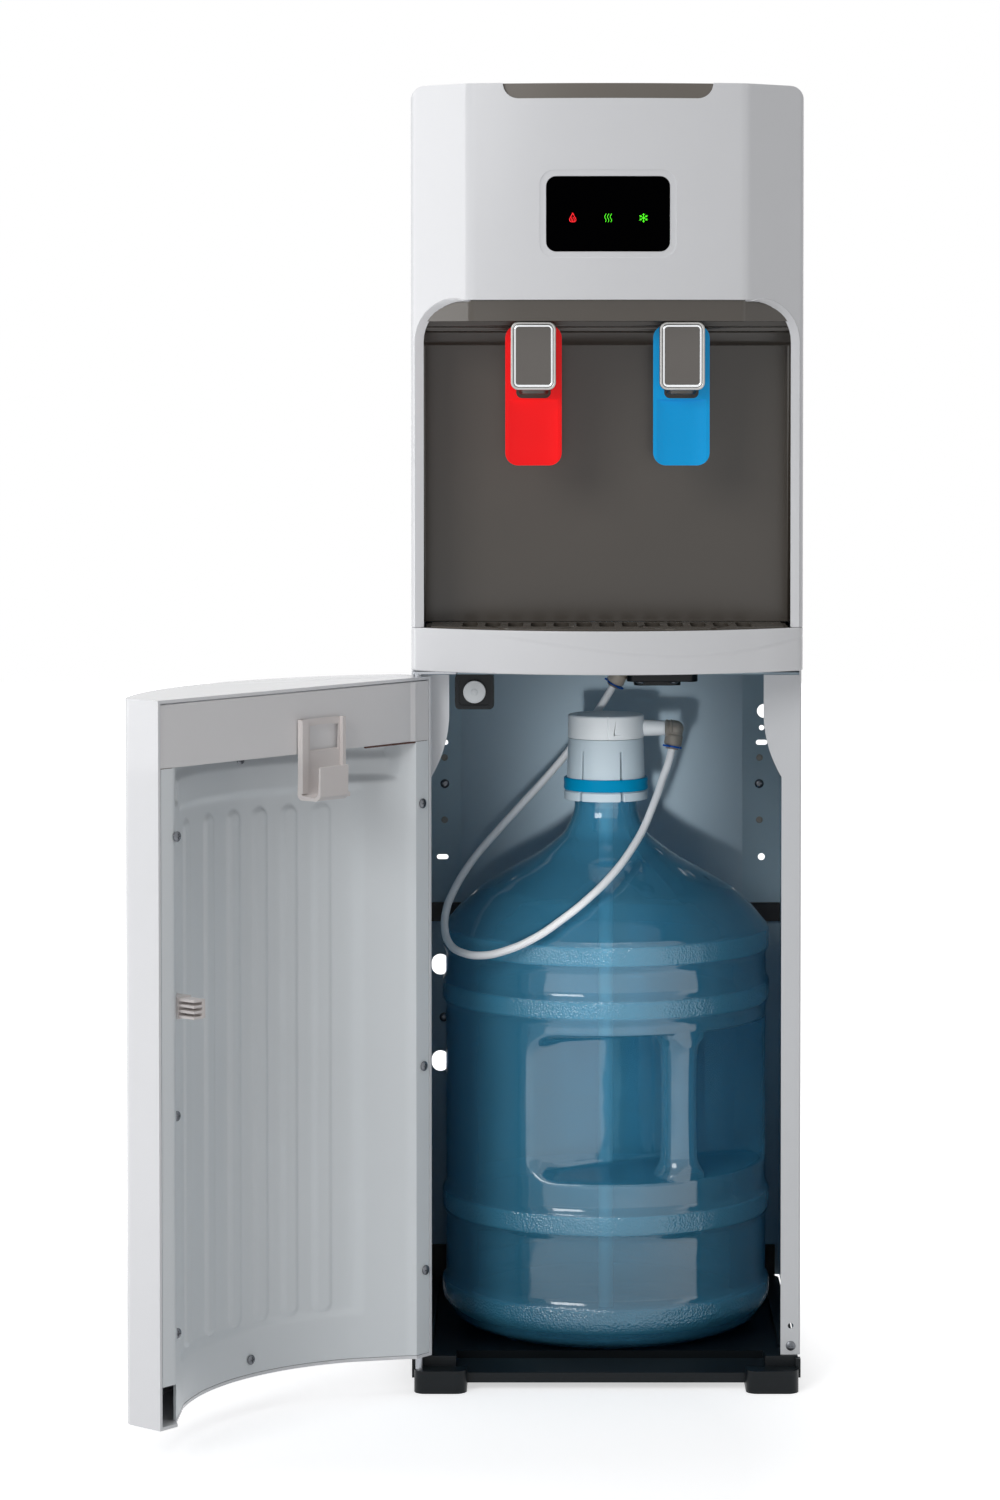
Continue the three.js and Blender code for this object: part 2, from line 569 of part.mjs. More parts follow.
function topCover() {
  const wide = PANEL_HALF;
  const top = HEIGHT - CLEAR;
  const front = prism(bowShape(HALF_WIDTH, false, MOULD + CLEAR, FLANGE_Y + 1), HEIGHT - 16, top);
  const rear = block(-wide, wide, FLANGE_Y + CLEAR, BACK_Y + 2, PANEL_TOP + CLEAR, top);
  const room = block(-wide + 3, wide - 3, FLANGE_Y + 3.5, BACK_Y - 1, PANEL_TOP - 1, HEIGHT - 3.5);
  const edges = prismY(rounded(-wide, wide, 400, HEIGHT, 10), bowFront - 5, BACK_Y + 40, 4);
  return join(front.intersect(headEdges()), rear.subtract(room)).intersect(edges);
}

// ---------- dispensing bay ----------
function bayLiner() {
  const edge = bowShape(HALF_WIDTH, false, MOULD + CLEAR, 400);
  const back = BAY_BACK_Y + BAY_WALL;
  const half = BAY_HALF + 1;
  const [ceiling, corner] = [BAY_CEILING + BAY_WALL, BAY_CORNER + BAY_WALL];
  const outer = bayOpening(half + BAY_WALL, ceiling, corner, bowFront - 5, back);
  const inner = bayOpening(half, BAY_CEILING, BAY_CORNER, bowFront - 6, BAY_BACK_Y);
  const lipOuter = prism(edge, BAY_CEILING, BAY_TOP + 6);
  const lipEdge = bowShape(HALF_WIDTH, false, MOULD + CLEAR + BAY_WALL, 500);
  const lipInner = prism(lipEdge, BAY_CEILING - 1, BAY_TOP + 7);
  const lipBack = block(-HALF_WIDTH - 46, HALF_WIDTH + 46, FLANGE_Y - 20, 500, BAY_CEILING - 5, HEIGHT);
  const lip = cut(lipOuter, lipInner, lipBack);
  const foot = block(-BAY_HALF - 20, BAY_HALF + 20, bowFront - 10, 0, APRON_TOP - 60, APRON_TOP + 1);
  const slotHalf = TAP_HALF + CLEAR;
  const [slotFront, slotBack] = [tapFront - CLEAR, tapFront + TAP_DEPTH + CLEAR];
  const tapSlots = [-TAP_X, TAP_X].map((x) =>
    block(x - slotHalf, x + slotHalf, slotFront, slotBack, BAY_CEILING - 1, BAY_CEILING + 10),
  );
  const shell = cut(outer, inner).intersect(prism(edge, APRON_TOP - 50, BAY_TOP + 20));
  return cut(join(shell, lip), foot, ...tapSlots);
}

// A slice of the bay's floor between two sides, tall enough to cut any of its pieces to width.
function floorSlice(half) {
  return block(-half, half, bowFront, BAY_BACK_Y, 500, 700);
}

function dripTray() {
  const plan = bowShape(HALF_WIDTH, true, MOULD + CLEAR, BAY_BACK_Y - CLEAR);
  const outer = prism(plan, apronFloor + CLEAR, APRON_TOP);
  const roomPlan = bowShape(HALF_WIDTH, true, MOULD + 6, BAY_BACK_Y - 4);
  const room = prism(roomPlan, apronFloor + 2.5, APRON_TOP + 1);
  const rimmed = outer.intersect(floorSlice(BAY_HALF - 1));
  const cavity = room.intersect(floorSlice(BAY_HALF - 5));
  return cut(rimmed, cavity);
}

function dripGrille() {
  const top = APRON_TOP + 1;
  const plan = bowShape(HALF_WIDTH, true, MOULD + 6.5, BAY_BACK_Y - 4.5);
  const plate = prism(plan, top - 4, top);
  const slots = [];
  for (let i = -6; i <= 6; i++) {
    slots.push(block(i * 18 - 6, i * 18 + 6, FLANGE_Y - 45, BAY_BACK_Y - 14, top - 5, top + 1));
  }
  const legs = [-1, 1].map((side) => {
    const x = side * (BAY_HALF - 24);
    const leg = block(x - 3, x + 3, FLANGE_Y - 30, FLANGE_Y, apronFloor + 2.8, top - 2);
    return leg.intersect(prism(plan, apronFloor, top));
  });
  return join(cut(plate.intersect(floorSlice(BAY_HALF - 5.5)), ...slots), ...legs);
}

// ---------- taps, drawn about their own middle ----------
function tapBody() {
  const half = TAP_HALF;
  const stock = block(-half, half, tapFront, tapFront + TAP_DEPTH, CAP_BOTTOM + 2, TAP_TOP);
  const nozzle = bar([0, nozzleY, NOTCH_Z + 3], [0, nozzleY, CAP_BOTTOM + 3], 12, 12.4);
  const pinEnd = [LEVER_PIN_HALF, leverPinY, LEVER_PIVOT_Z];
  const pin = bar([-LEVER_PIN_HALF, leverPinY, LEVER_PIVOT_Z], pinEnd, LEVER_PIN_R, LEVER_PIN_R, 12);
  const bore = bar([0, nozzleY, NOTCH_Z], [0, nozzleY, BAY_CEILING + 10], 3.5, 3.5, 12);
  return cut(join(stock, nozzle, pin), bore);
}

function tapCap() {
  const half = CAP_WIDTH / 2;
  const front = FLANGE_Y - CAP_AHEAD;
  const edge = rounded(-half, half, CAP_BOTTOM, BAY_CEILING - CLEAR, 6);
  const face = prismY(edge, front, tapFront - CLEAR);
  const dishEdge = rounded(-half + 4, half - 4, CAP_BOTTOM + 4, BAY_CEILING - 4, 3);
  return cut(face, prismY(dishEdge, front - 1, front + 1.5));
}

function tapLever() {
  const half = LEVER_WIDTH / 2;
  const [y0, y1] = [tapFront + 6, tapFront + 14];
  const top = LEVER_PIVOT_Z + 5;
  const plate = prismY(rounded(-half, half, LEVER_BOTTOM, top, 8), y0, y1);
  const notchEdge = rounded(-NOTCH_WIDTH / 2, NOTCH_WIDTH / 2, NOTCH_Z, top + 20, 5);
  const notch = prismY(notchEdge, y0 - 1, y1 + 1);
  const scoop = bar([0, y0 - 24, LEVER_BOTTOM - 40], [0, y0 - 24, NOTCH_Z - 1], 27, 27, 24);
  const boreR = LEVER_PIN_R + CLEAR;
  const bore = bar([-30, leverPinY, LEVER_PIVOT_Z], [30, leverPinY, LEVER_PIVOT_Z], boreR, boreR, 12);
  return cut(plate, notch, scoop, bore);
}

// ---------- display ----------
function displayWindow() {
  return displayOpening(0, bowFront + 3.2, bowFront + 5.7);
}

function controlBoard() {
  const y = bowFront + 10;
  const half = DISPLAY.width / 2 - 5.6;
  const board = block(-half, half, y, y + 1.6, DISPLAY.z - 22, DISPLAY.z + 22);
  const lampZ = DISPLAY.z - 3;
  const lamps = [-1, 0, 1].map((i) => bar([i * 26.5, y - 3, lampZ], [i * 26.5, y + 1, lampZ], 2.5, 2.5, 12));
  const posts = [-1, 1].map((side) => {
    const x = side * (half + 2);
    return block(x - 6, x + 6, bowFront + 6, y + 1, DISPLAY.z - 20, DISPLAY.z - 12);
  });
  return join(board, ...lamps, ...posts);
}

// ---------- what works inside ----------
function tankPlatform() {
  const [front, back] = [BAY_BACK_Y + BAY_WALL + CLEAR, BACK_Y - SHEET - 0.5];
  const plate = block(-fitX, fitX, front, back, PLATFORM_Z, PLATFORM_Z + PLATFORM_SHEET);
  const legs = [-1, 1].map((side) => {
    const [x0, x1] = side < 0 ? [-fitX, -fitX + 2] : [fitX - 2, fitX];
    return block(x0, x1, front, back, shelfTop, PLATFORM_Z + 1);
  });
  const pass = [
    bar([RISER.x, RISER.y, PLATFORM_Z - 1], [RISER.x, RISER.y, PLATFORM_Z + 3], 5.5),
    bar([HOT.x, HOT.y, PLATFORM_Z - 1], [HOT.x, HOT.y, PLATFORM_Z + 3], 6.5),
  ];
  return cut(join(plate, ...legs), ...pass);
}

function coldJacket() {
  const { x, y, jacket, top } = COLD;
  const bottom = PLATFORM_Z + PLATFORM_SHEET + CLEAR;
  const foam = turned([[0, bottom], [jacket, bottom], [jacket, top + 12], [0, top + 12]], x, y);
  const room = bar([x, y, COLD.bottom - CLEAR], [x, y, top + 20], COLD.r + 5, COLD.r + 5, 32);
  return cut(foam, room);
}

function coldTank() {
  const { x, y, r, bottom, top } = COLD;
  const shell = turned(
    [[0, bottom], [r - 6, bottom], [r, bottom + 6], [r, top - 6], [r - 6, top], [0, top]],
    x,
    y,
  );
  const inside = [[0, bottom + 2], [r - 7, bottom + 2], [r - 2, bottom + 7]];
  inside.push([r - 2, top - 7], [r - 7, top - 2], [0, top - 2]);
  const room = turned(inside, x, y);
  const mouth = bar([x, y - 20, top - 10], [x, y - 20, top + 10], 8);
  return cut(shell, room, mouth);
}

function evaporator() {
  const { x, y, r, bottom } = COLD;
  return ring(x, y, r + CLEAR, r + 4.5, bottom + 20, bottom + 110);
}

function hotTank() {
  const { x, y, r, top } = HOT;
  const low = hotFloor;
  const shell = turned([[0, low], [r - 5, low], [r, low + 6], [r, top - 6], [r - 6, top], [0, top]], x, y);
  const room = turned(
    [[0, low + 3], [r - 5, low + 3], [r - 2, low + 8], [r - 2, top - 8], [r - 8, top - 2], [0, top - 2]],
    x,
    y,
  );
  const outlet = bar([x, y, top - 8], [x, y, top + 8], 5, 5, 16);
  const legs = [0, 1, 2].map((i) => {
    const angle = (i / 3) * Math.PI * 2 + 0.5;
    const [lx, ly] = [x + Math.cos(angle) * 30, y + Math.sin(angle) * 30];
    return bar([lx, ly, shelfTop], [lx, ly, low + 1], 4, 4, 10);
  });
  const drainPipe = bar([x, y + 20, DRAIN_Z], [x, BACK_Y + 6, DRAIN_Z], 6, 6, 16);
  return cut(join(shell, ...legs, drainPipe), room, outlet);
}

function heaterBand() {
  const { x, y, r } = HOT;
  return ring(x, y, r + CLEAR, r + 5, HEATER.bottom, HEATER.top);
}

function compressor() {
  const { x, y, r, top } = COMPRESSOR;
  const profile = [[0, 582], [r - 12, 582], [r - 3, 592], [r, 640], [r - 4, 690]];
  profile.push([r - 16, 712], [r - 34, top], [0, top]);
  const can = turned(profile, x, y);
  const plate = block(x - 62, x + 62, y - 48, y + 48, 578, 584);
  const corners = [[-1, -1], [-1, 1], [1, -1], [1, 1]];
  const feet = corners.map(([i, j]) => {
    const [footX, footY] = [x + i * 52, y + j * 38];
    return bar([footX, footY, shelfTop], [footX, footY, 579], 7, 7, 12);
  });
  const stub = bar([x + 30, y, 690], [x + 30, y, top + 23], 4, 4, 12);
  return join(can, plate, ...feet, stub);
}

function pump() {
  const { left, right, front, back, bottom } = PUMP;
  const body = prism(rounded(left, right, front, back, 6), bottom, SHELF_Z - CLEAR);
  const lidPlan = rounded(left + 6, right - 14, front + 6, back - 6, 5);
  const lid = prism(lidPlan, bottom - 1.5, bottom + 1);
  const outlet = bar([SUPPLY.x, SUPPLY.y, 565], [SUPPLY.x, SUPPLY.y, shelfTop + 12], 5, 5, 16);
  return join(body, lid, outlet);
}

function pumpFitting() {
  const { x, y, z } = FITTING;
  const leg = bar([x - 3.2, y, z - 10], [x + 0.4, y, z - 0.4], 6, 6.2);
  const arm = bar([x - 0.2, y, z], [PUMP.left - CLEAR, y, z], 5.8, 5.8);
  const knuckle = bar([x, y - 6.2, z - 0.2], [x, y + 6.2, z - 0.2], 6.4, 6.4);
  return join(leg, arm, knuckle);
}

function supplyLine() {
  const { x, y } = SUPPLY;
  const points = [
    [x, y, shelfTop + 12 + CLEAR],
    [x, y, 640],
    [RISER.x - 10, RISER.y + 3, 705],
    [RISER.x, RISER.y, 760],
    [RISER.x, RISER.y, 800],
    [RISER.x, RISER.y - 8, 900],
    [74, -6, 994],
    [30, COLD.y - 14, 1004],
    [COLD.x, COLD.y - 20, 990],
    [COLD.x, COLD.y - 20, COLD.top - 8],
  ];
  return tube(points, LINE_R, 6, 36);
}

function coldLine() {
  const points = [
    [TAP_X, tapFront + 15, TAP_TOP + CLEAR],
    [TAP_X, tapFront + 16, 900],
    [55, FLANGE_Y - 10, 925],
    [30, FLANGE_Y + 30, 915],
    [4, COLD.y - COLD.jacket - 18, 885],
    [COLD.x, COLD.y - COLD.jacket - 5, 880],
    [COLD.x, COLD.y - COLD.jacket - CLEAR, 880],
  ];
  return tube(points, LINE_R, 6, 24);
}

function hotLine() {
  const { x, y, top } = HOT;
  const points = [
    [-TAP_X, tapFront + 15, TAP_TOP + CLEAR],
    [-TAP_X, tapFront + 16, 905],
    [-70, FLANGE_Y - 5, 935],
    [-105, -60, 930],
    [-100, 60, 940],
    [0, 100, 930],
    [x, y, 860],
    [x, y, top + 10],
    [x, y, top - 6],
  ];
  return tube(points, LINE_R, 6, 40);
}

// A serpentine of steel tube behind the back panel, with the lugs that hold it.
function condenser() {
  const { half, low, pitch, rows, r, lugX } = COIL;
  const y = BACK_Y + 14;
  const points = [];
  for (let row = 0; row < rows; row++) {
    const z = low + row * pitch;
    const [from, to] = row % 2 ? [half, -half] : [-half, half];
    for (const t of [0, 0.05, 0.95, 1]) points.push([from + (to - from) * t, y, z]);
    if (row < rows - 1) points.push([to + Math.sign(to) * 12, y, z + pitch / 2]);
  }
  const coil = tube(points, r, 5, 84);
  const high = low + pitch * (rows - 1) + 6;
  const lugs = [-lugX, lugX].map((x) => block(x - 5, x + 5, rearFace, y + 1, low - 6, high));
  return join(coil, ...lugs);
}

// ---------- rear controls ----------
function rockerFrame() {
  const rim = block(-13, 13, rearFace, rearFace + 2, -12.5, 12.5);
  const body = block(-10, 10, BACK_Y - 18, rearFace + 1, -9.5, 9.5);
  const room = block(-8.5, 8.5, BACK_Y - 14, rearFace + 5, -8, 8);
  const pivots = [-1, 1].map((side) =>
    bar([side * 6.9, BACK_Y - 3, 0], [side * 8.9, BACK_Y - 3, 0], 1.4, 1.4, 10),
  );
  return join(cut(join(rim, body), room), ...pivots);
}

function rocker() {
  const face = [[rearFace + 2.2, -6.2], [rearFace + 0.6, 0], [rearFace + 0.2, 6.2]];
  const key = prismX(outline([[BACK_Y - 7, -4], ...face, [BACK_Y - 7, 4]]), -8.2, 8.2);
  const bore = bar([-10, BACK_Y - 3, 0], [10, BACK_Y - 3, 0], 1.7, 1.7, 10);
  return key.subtract(bore);
}

function powerInlet() {
  const rim = block(-25, 25, rearFace, rearFace + 2, -12.5, 12.5);
  const body = block(-13.5, 13.5, BACK_Y - 14, rearFace + 1, -10, 10);
  const socket = block(-12, 12, BACK_Y - 9, rearFace + 4, -8, 8);
  const pins = [-7, 0, 7].map((x) => block(x - 1, x + 1, BACK_Y - 10, BACK_Y, -2, 2));
  return join(cut(join(rim, body), socket), ...pins);
}

function drainCap() {
  return bar([0, BACK_Y + 6 + CLEAR, 0], [0, BACK_Y + 22, 0], 11, 10.5, 24);
}

function crossBar() {
  const y1 = BACK_Y - SHEET - CLEAR;
  return block(-fitX, fitX, y1 - 3.5, y1, 335, 351);
}

// ---------- door switch ----------
function switchHousing() {
  const { x, z, half, bottom, depth } = SWITCH;
  const top = SHELF_Z - CLEAR;
  const body = prismY(rounded(x - half, x + half, bottom, top, 3.5), FLANGE_Y + 3, FLANGE_Y + depth, 4);
  const dishEdge = rounded(x - half + 3, x + half - 3, bottom + 3, top - 2, 2.5);
  const dish = prismY(dishEdge, FLANGE_Y + 2, FLANGE_Y + 5, 4);
  const boreR = SWITCH_STEM_R + CLEAR;
  const bore = bar([x, FLANGE_Y, z], [x, FLANGE_Y + depth - 4, z], boreR, boreR);
  return cut(body, dish, bore);
}

function switchPlunger() {
  const { x, z } = SWITCH;
  const discFace = doorPlane + 0.4;
  const disc = bar([x, discFace, z], [x, FLANGE_Y + 0.5, z], SWITCH_DISC_R, SWITCH_DISC_R, 28);
  const stem = bar([x, FLANGE_Y, z], [x, FLANGE_Y + 16, z], SWITCH_STEM_R, SWITCH_STEM_R, 16);
  return join(disc, stem);
}

// ---------- bottle ----------
function bottleOutside() {
  const { band, body, neck, top } = BOTTLE;
  const low = WELL_FLOOR + CLEAR;
  const points = [[0, low], [104, low], [120, 25], [131, 36], [band, 46], [band, 58]];
  points.push([body, 63], [body, 113], [band, 118], [band, 134], [body, 139], [body, 287], [band, 292]);
  points.push([band, 307], [body, 312], [body, 330], [band, 335], [band, 352], [121, 369], [104.6, 386]);
  points.push([81, 398.6], [55, 412], [32.4, 430.6], [neck, 444], [neck, top], [0, top]);
  return points;
}

function bottleInside() {
  const { body, neck, top, wall } = BOTTLE;
  const floor = WELL_FLOOR + CLEAR + 2;
  const points = [[0, floor], [103, floor], [119, 28], [body - wall, 46], [body - wall, 352]];
  points.push([118, 368], [102.6, 384.4], [79.8, 396.8], [53.6, 410], [30.6, 429.4], [neck - wall, 443]);
  points.push([neck - wall, top + 5], [0, top + 5]);
  return points;
}

function bottle() {
  const { x, y, wall } = BOTTLE;
  const { floor, bottom, top, reach } = HANDLE;
  const turn = -THREE.MathUtils.degToRad(90 - HANDLE.angle);
  const [dx, dy] = [Math.cos(turn), Math.sin(turn)];
  const pocket = (grow) => {
    const box = new THREE.BoxGeometry(80 + grow, 300, top - bottom + grow * 2);
    box.translate(floor + 40 - grow / 2, 0, (top + bottom) / 2);
    return solid(box.rotateZ(turn).translate(x, y, 0));
  };
  const [gripX, gripY] = [x + dx * reach, y + dy * reach];
  const grip = bar([gripX, gripY, bottom - wall / 2], [gripX, gripY, top + wall / 2], HANDLE.bar);
  const outer = cut(turned(bottleOutside(), x, y, 24), pocket(0));
  const inner = cut(turned(bottleInside(), x, y, 24), pocket(wall));
  return join(outer.subtract(inner), grip);
}

// ---------- probe ----------
function probeLid() {
  const { x, y } = BOTTLE;
  const { r, bottom, top } = LID;
  const lid = turned([[0, bottom], [r, bottom], [r, top - 1.7], [r - 1.5, top], [0, top]], x, y);
  const spigot = bar([x + r - 3.5, y, SPIGOT.z], [x + SPIGOT.end, y, SPIGOT.z], SPIGOT.r, SPIGOT.r);
  return join(lid, spigot);
}

function probeCollar() {
  const { x, y } = BOTTLE;
  const { inner, lip, waist, low } = COLLAR;
  const top = LID.bottom - CLEAR;
  const hole = DIP.r + 1.5;
  const profile = [[inner, low], [lip, low], [lip, low + 6.5], [waist, low + 7.2], [waist, low + 18]];
  profile.push([LID.r, top], [hole, top], [hole, top - 2.7], [inner, top - 2.7], [inner, low]);
  const collar = turned(profile, x, y, 24);
  const slotZ = low + 18.5;
  const slots = [0, 1, 2, 3, 4, 5].map((i) => {
    const angle = THREE.MathUtils.degToRad(-83 + i * 60);
    const [c, s] = [Math.cos(angle), Math.sin(angle)];
    return bar([x + c * 20, y + s * 20, slotZ], [x + c * 40, y + s * 40, slotZ], 1.6, 1.6, 8);
  });
  return cut(collar, ...slots);
}

function clampRing() {
  const [inner, outer] = [COLLAR.waist + CLEAR, COLLAR.lip + 0.6];
  return ring(BOTTLE.x, BOTTLE.y, inner, outer, COLLAR.low + 7.5, COLLAR.low + 17.5, 24);
}

function dipTube() {
  const { x, y } = BOTTLE;
  const top = LID.bottom - CLEAR;
  const shell = bar([x, y, DIP.bottom], [x, y, top], DIP.r, DIP.r, 16);
  const bore = bar([x, y, DIP.bottom - 1], [x, y, top - 3.2], DIP.bore, DIP.bore, 12);
  return shell.subtract(bore);
}

function probeElbow() {
  const { x, y } = BOTTLE;
  const z = SPIGOT.z;
  const arm = bar([x + SPIGOT.end + CLEAR, y, z], [x + 58, y, z], 7.2, 6.8);
  const knuckle = new THREE.SphereGeometry(7, 16, 10).translate(x + 57.5, y, z - 0.5);
  const leg = bar([x + 58, y, z - 1], ELBOW_END, 6.6, 7.6);
  return join(arm, solid(knuckle), leg);
}

// ---------- hose ----------
function hose() {
  return tube(HOSE_ROUTE, HOSE_R, 8, 54);
}

// ---------- the assembly ----------
const cooler = new THREE.Group();

function add(group, name, body, color, roughness = 0.5, metalness = 0) {
  const material = new THREE.MeshStandardMaterial({ color, roughness, metalness });
  const mesh = new THREE.Mesh(geometryOf(body), material);
  mesh.name = name;
  group.add(mesh);
  return mesh;
}

const WHITE = 0xf1f1f3;
const GREYBROWN = 0x5f5a55;
const STEEL_PAINT = 0xc5c8cc;
const BLACK = 0x16171a;
const STAINLESS = 0xb9bcc0;

add(cooler, "base_tray", baseTray(), BLACK, 0.35);
add(cooler, "left_side_panel", sidePanel(-1), STEEL_PAINT, 0.4);
add(cooler, "right_side_panel", sidePanel(1), STEEL_PAINT, 0.4);
add(cooler, "back_panel", backPanel(), 0x5f6c70, 0.5);
add(cooler, "rear_crossbar", crossBar(), BLACK, 0.5);
add(cooler, "compartment_shelf", shelfPlate(), 0x5f6c70, 0.5);
add(cooler, "upper_hinge", upperHinge(), STAINLESS, 0.35, 0.9);
add(cooler, "lower_hinge_pin", lowerPin(), STAINLESS, 0.35, 0.9);
add(cooler, "apron", apron(), WHITE, 0.2);
add(cooler, "head_fascia", headFascia(), WHITE, 0.2);
add(cooler, "top_cover", topCover(), GREYBROWN, 0.4);
add(cooler, "bay_liner", bayLiner(), GREYBROWN, 0.25);
add(cooler, "drip_tray", dripTray(), GREYBROWN, 0.35);
add(cooler, "drip_grille", dripGrille(), GREYBROWN, 0.3);
add(cooler, "display_window", displayWindow(), 0x050505, 0.1);
add(cooler, "control_board", controlBoard(), 0x1f5c36, 0.6);

for (const [name, side, color] of [["hot", -1, 0xe8202a], ["cold", 1, 0x1e97d8]]) {
  const tap = new THREE.Group();
  tap.position.x = side * TAP_X;
  add(tap, `${name}_tap_body`, tapBody(), GREYBROWN, 0.4);
  add(tap, `${name}_tap_cap`, tapCap(), 0xb0b1b3, 0.15, 1);
  add(tap, `${name}_tap_lever`, tapLever(), color, 0.25);
  cooler.add(tap);
}

add(cooler, "tank_platform", tankPlatform(), STAINLESS, 0.5, 0.8);
add(cooler, "cold_tank_insulation", coldJacket(), 0xe9e9e4, 0.9);
add(cooler, "cold_tank", coldTank(), STAINLESS, 0.3, 1);
add(cooler, "evaporator_coil", evaporator(), 0xb87333, 0.4, 1);
add(cooler, "hot_tank", hotTank(), STAINLESS, 0.3, 1);
add(cooler, "heater_band", heaterBand(), 0xa9a294, 0.5, 0.6);
add(cooler, "compressor", compressor(), 0x1c1d20, 0.4, 0.3);
add(cooler, "condenser", condenser(), 0x101114, 0.5, 0.3);
add(cooler, "water_pump", pump(), 0x1a1b1d, 0.5);
add(cooler, "pump_inlet_fitting", pumpFitting(), 0xb3a899, 0.5);
add(cooler, "supply_line", supplyLine(), 0xe4e6e8, 0.4);
add(cooler, "cold_water_line", coldLine(), 0xe4e6e8, 0.4);
add(cooler, "hot_water_line", hotLine(), 0xe4e6e8, 0.4);

for (const [i, name] of ["heating", "cooling"].entries()) {
  const place = new THREE.Group();
  place.position.set(ROCKER_X[i], 0, ROCKER_Z);
  add(place, `${name}_switch_frame`, rockerFrame(), BLACK, 0.5);
  add(place, `${name}_switch_rocker`, rocker(), i ? 0x1f8f4a : 0xc22a26, 0.4);
  cooler.add(place);
}
const inletPlace = new THREE.Group();
inletPlace.position.set(INLET_X, 0, INLET_Z);
add(inletPlace, "power_inlet", powerInlet(), BLACK, 0.5);
cooler.add(inletPlace);
const drainPlace = new THREE.Group();
drainPlace.position.set(DRAIN_X, 0, DRAIN_Z);
add(drainPlace, "drain_cap", drainCap(), WHITE, 0.4);
cooler.add(drainPlace);

add(cooler, "door_switch_housing", switchHousing(), BLACK, 0.4);
add(cooler, "door_switch_plunger", switchPlunger(), WHITE, 0.4);

add(cooler, "bottle", bottle(), 0x5a93b8, 0.1);
add(cooler, "probe_lid", probeLid(), 0xf2f4f5, 0.35);
add(cooler, "probe_collar", probeCollar(), 0xdfe8ee, 0.4);
add(cooler, "probe_clamp_ring", clampRing(), 0x0f93bd, 0.4);
add(cooler, "probe_elbow", probeElbow(), 0xb3a899, 0.5);
add(cooler, "dip_tube", dipTube(), 0xd6e4ee, 0.4);
add(cooler, "probe_hose", hose(), 0xeef1f3, 0.35);

// The door pieces are drawn closed; the group turns them about the pins.
const doorPieces = new THREE.Group();
doorPieces.position.set(-PIN_X, -pinY, 0);
add(doorPieces, "door_skin", doorShell(), WHITE, 0.2);
add(doorPieces, "door_liner", doorLiner(), 0xd0d5d9, 0.3);
add(doorPieces, "door_band", doorBand(), 0xd4d2d2, 0.35);
add(doorPieces, "probe_hook", probeHook(), 0xe4e0df, 0.4);
add(doorPieces, "door_catch", doorCatch(), 0xe6e3e2, 0.4);
const doorSwing = new THREE.Group();
doorSwing.position.set(PIN_X, pinY, 0);
doorSwing.rotation.z = -THREE.MathUtils.degToRad(DOOR_OPEN);
doorSwing.add(doorPieces);
cooler.add(doorSwing);

export default cooler;
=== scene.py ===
# %% [markdown]
# # A bottom load water cooler
#
# The real machine is a narrow steel cabinet. White mouldings bow out at the front, a grey-brown bay
# holds the two taps, and the large bottle stands behind a door at the bottom, so nobody lifts it.
# This lesson gives the machine its surfaces. The pieces that work, such as hinges and switches, come
# from the drawing at their true size, and we hang finer shapes and real finishes on them.

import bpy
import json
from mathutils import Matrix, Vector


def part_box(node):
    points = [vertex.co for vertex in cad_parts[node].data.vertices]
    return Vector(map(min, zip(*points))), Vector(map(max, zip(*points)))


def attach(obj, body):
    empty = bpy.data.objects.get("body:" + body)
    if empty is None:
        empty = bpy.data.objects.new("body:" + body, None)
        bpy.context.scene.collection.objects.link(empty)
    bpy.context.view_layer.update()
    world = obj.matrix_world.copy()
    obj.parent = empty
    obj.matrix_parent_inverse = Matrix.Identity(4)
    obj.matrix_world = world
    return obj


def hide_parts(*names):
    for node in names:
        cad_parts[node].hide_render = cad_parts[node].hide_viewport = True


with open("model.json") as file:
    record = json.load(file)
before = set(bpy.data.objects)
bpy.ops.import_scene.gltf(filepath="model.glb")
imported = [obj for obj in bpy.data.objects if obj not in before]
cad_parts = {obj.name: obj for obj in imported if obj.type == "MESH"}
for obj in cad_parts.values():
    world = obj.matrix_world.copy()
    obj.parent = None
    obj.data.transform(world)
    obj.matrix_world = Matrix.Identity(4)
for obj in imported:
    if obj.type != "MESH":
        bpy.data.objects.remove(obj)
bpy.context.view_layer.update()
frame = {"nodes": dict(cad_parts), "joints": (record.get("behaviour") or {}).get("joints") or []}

# %% Tools from Blender
import json
import math

import bpy
from mathutils import Matrix, Vector

MM = 0.001  # the shapes are written in millimetres, and Blender works in metres

# %% [markdown]
# ## The camera
#
# A product shot of a tall machine is taken from far away with a long lens, so that its sides stay
# upright. We could level the camera and slide the lens, as an architect does. Here it also looks
# down by two degrees, which shows the door's top and the floor of the bay.

# %% The camera
FOCAL_LENGTH = 100.04
TILT_DOWN = 2.0
SHIFT = (-0.0349, -0.1668)
CAMERA_AT = (-0.0430, -3.4555, 0.8253)
lens = bpy.data.cameras.new("lens")
lens.lens = FOCAL_LENGTH
lens.shift_x, lens.shift_y = SHIFT
lens.clip_end = 50.0
camera = bpy.data.objects.new("camera", lens)
camera.location = CAMERA_AT
camera.rotation_euler = (math.radians(90.0 - TILT_DOWN), 0.0, 0.0)
bpy.context.scene.collection.objects.link(camera)
bpy.context.scene.camera = camera
print("the camera stands", round(-camera.location.y, 2), "m in front of the bottle")

# %% [markdown]
# ## The hose
#
# A quarter inch hose carries the water from the probe in the bottle up to the pump. It is stiff
# enough to keep one wide loop. A mesh tube would work, but a curve keeps its round section along
# every bend and knows its own length, so we draw its centre line and give the curve a thickness.

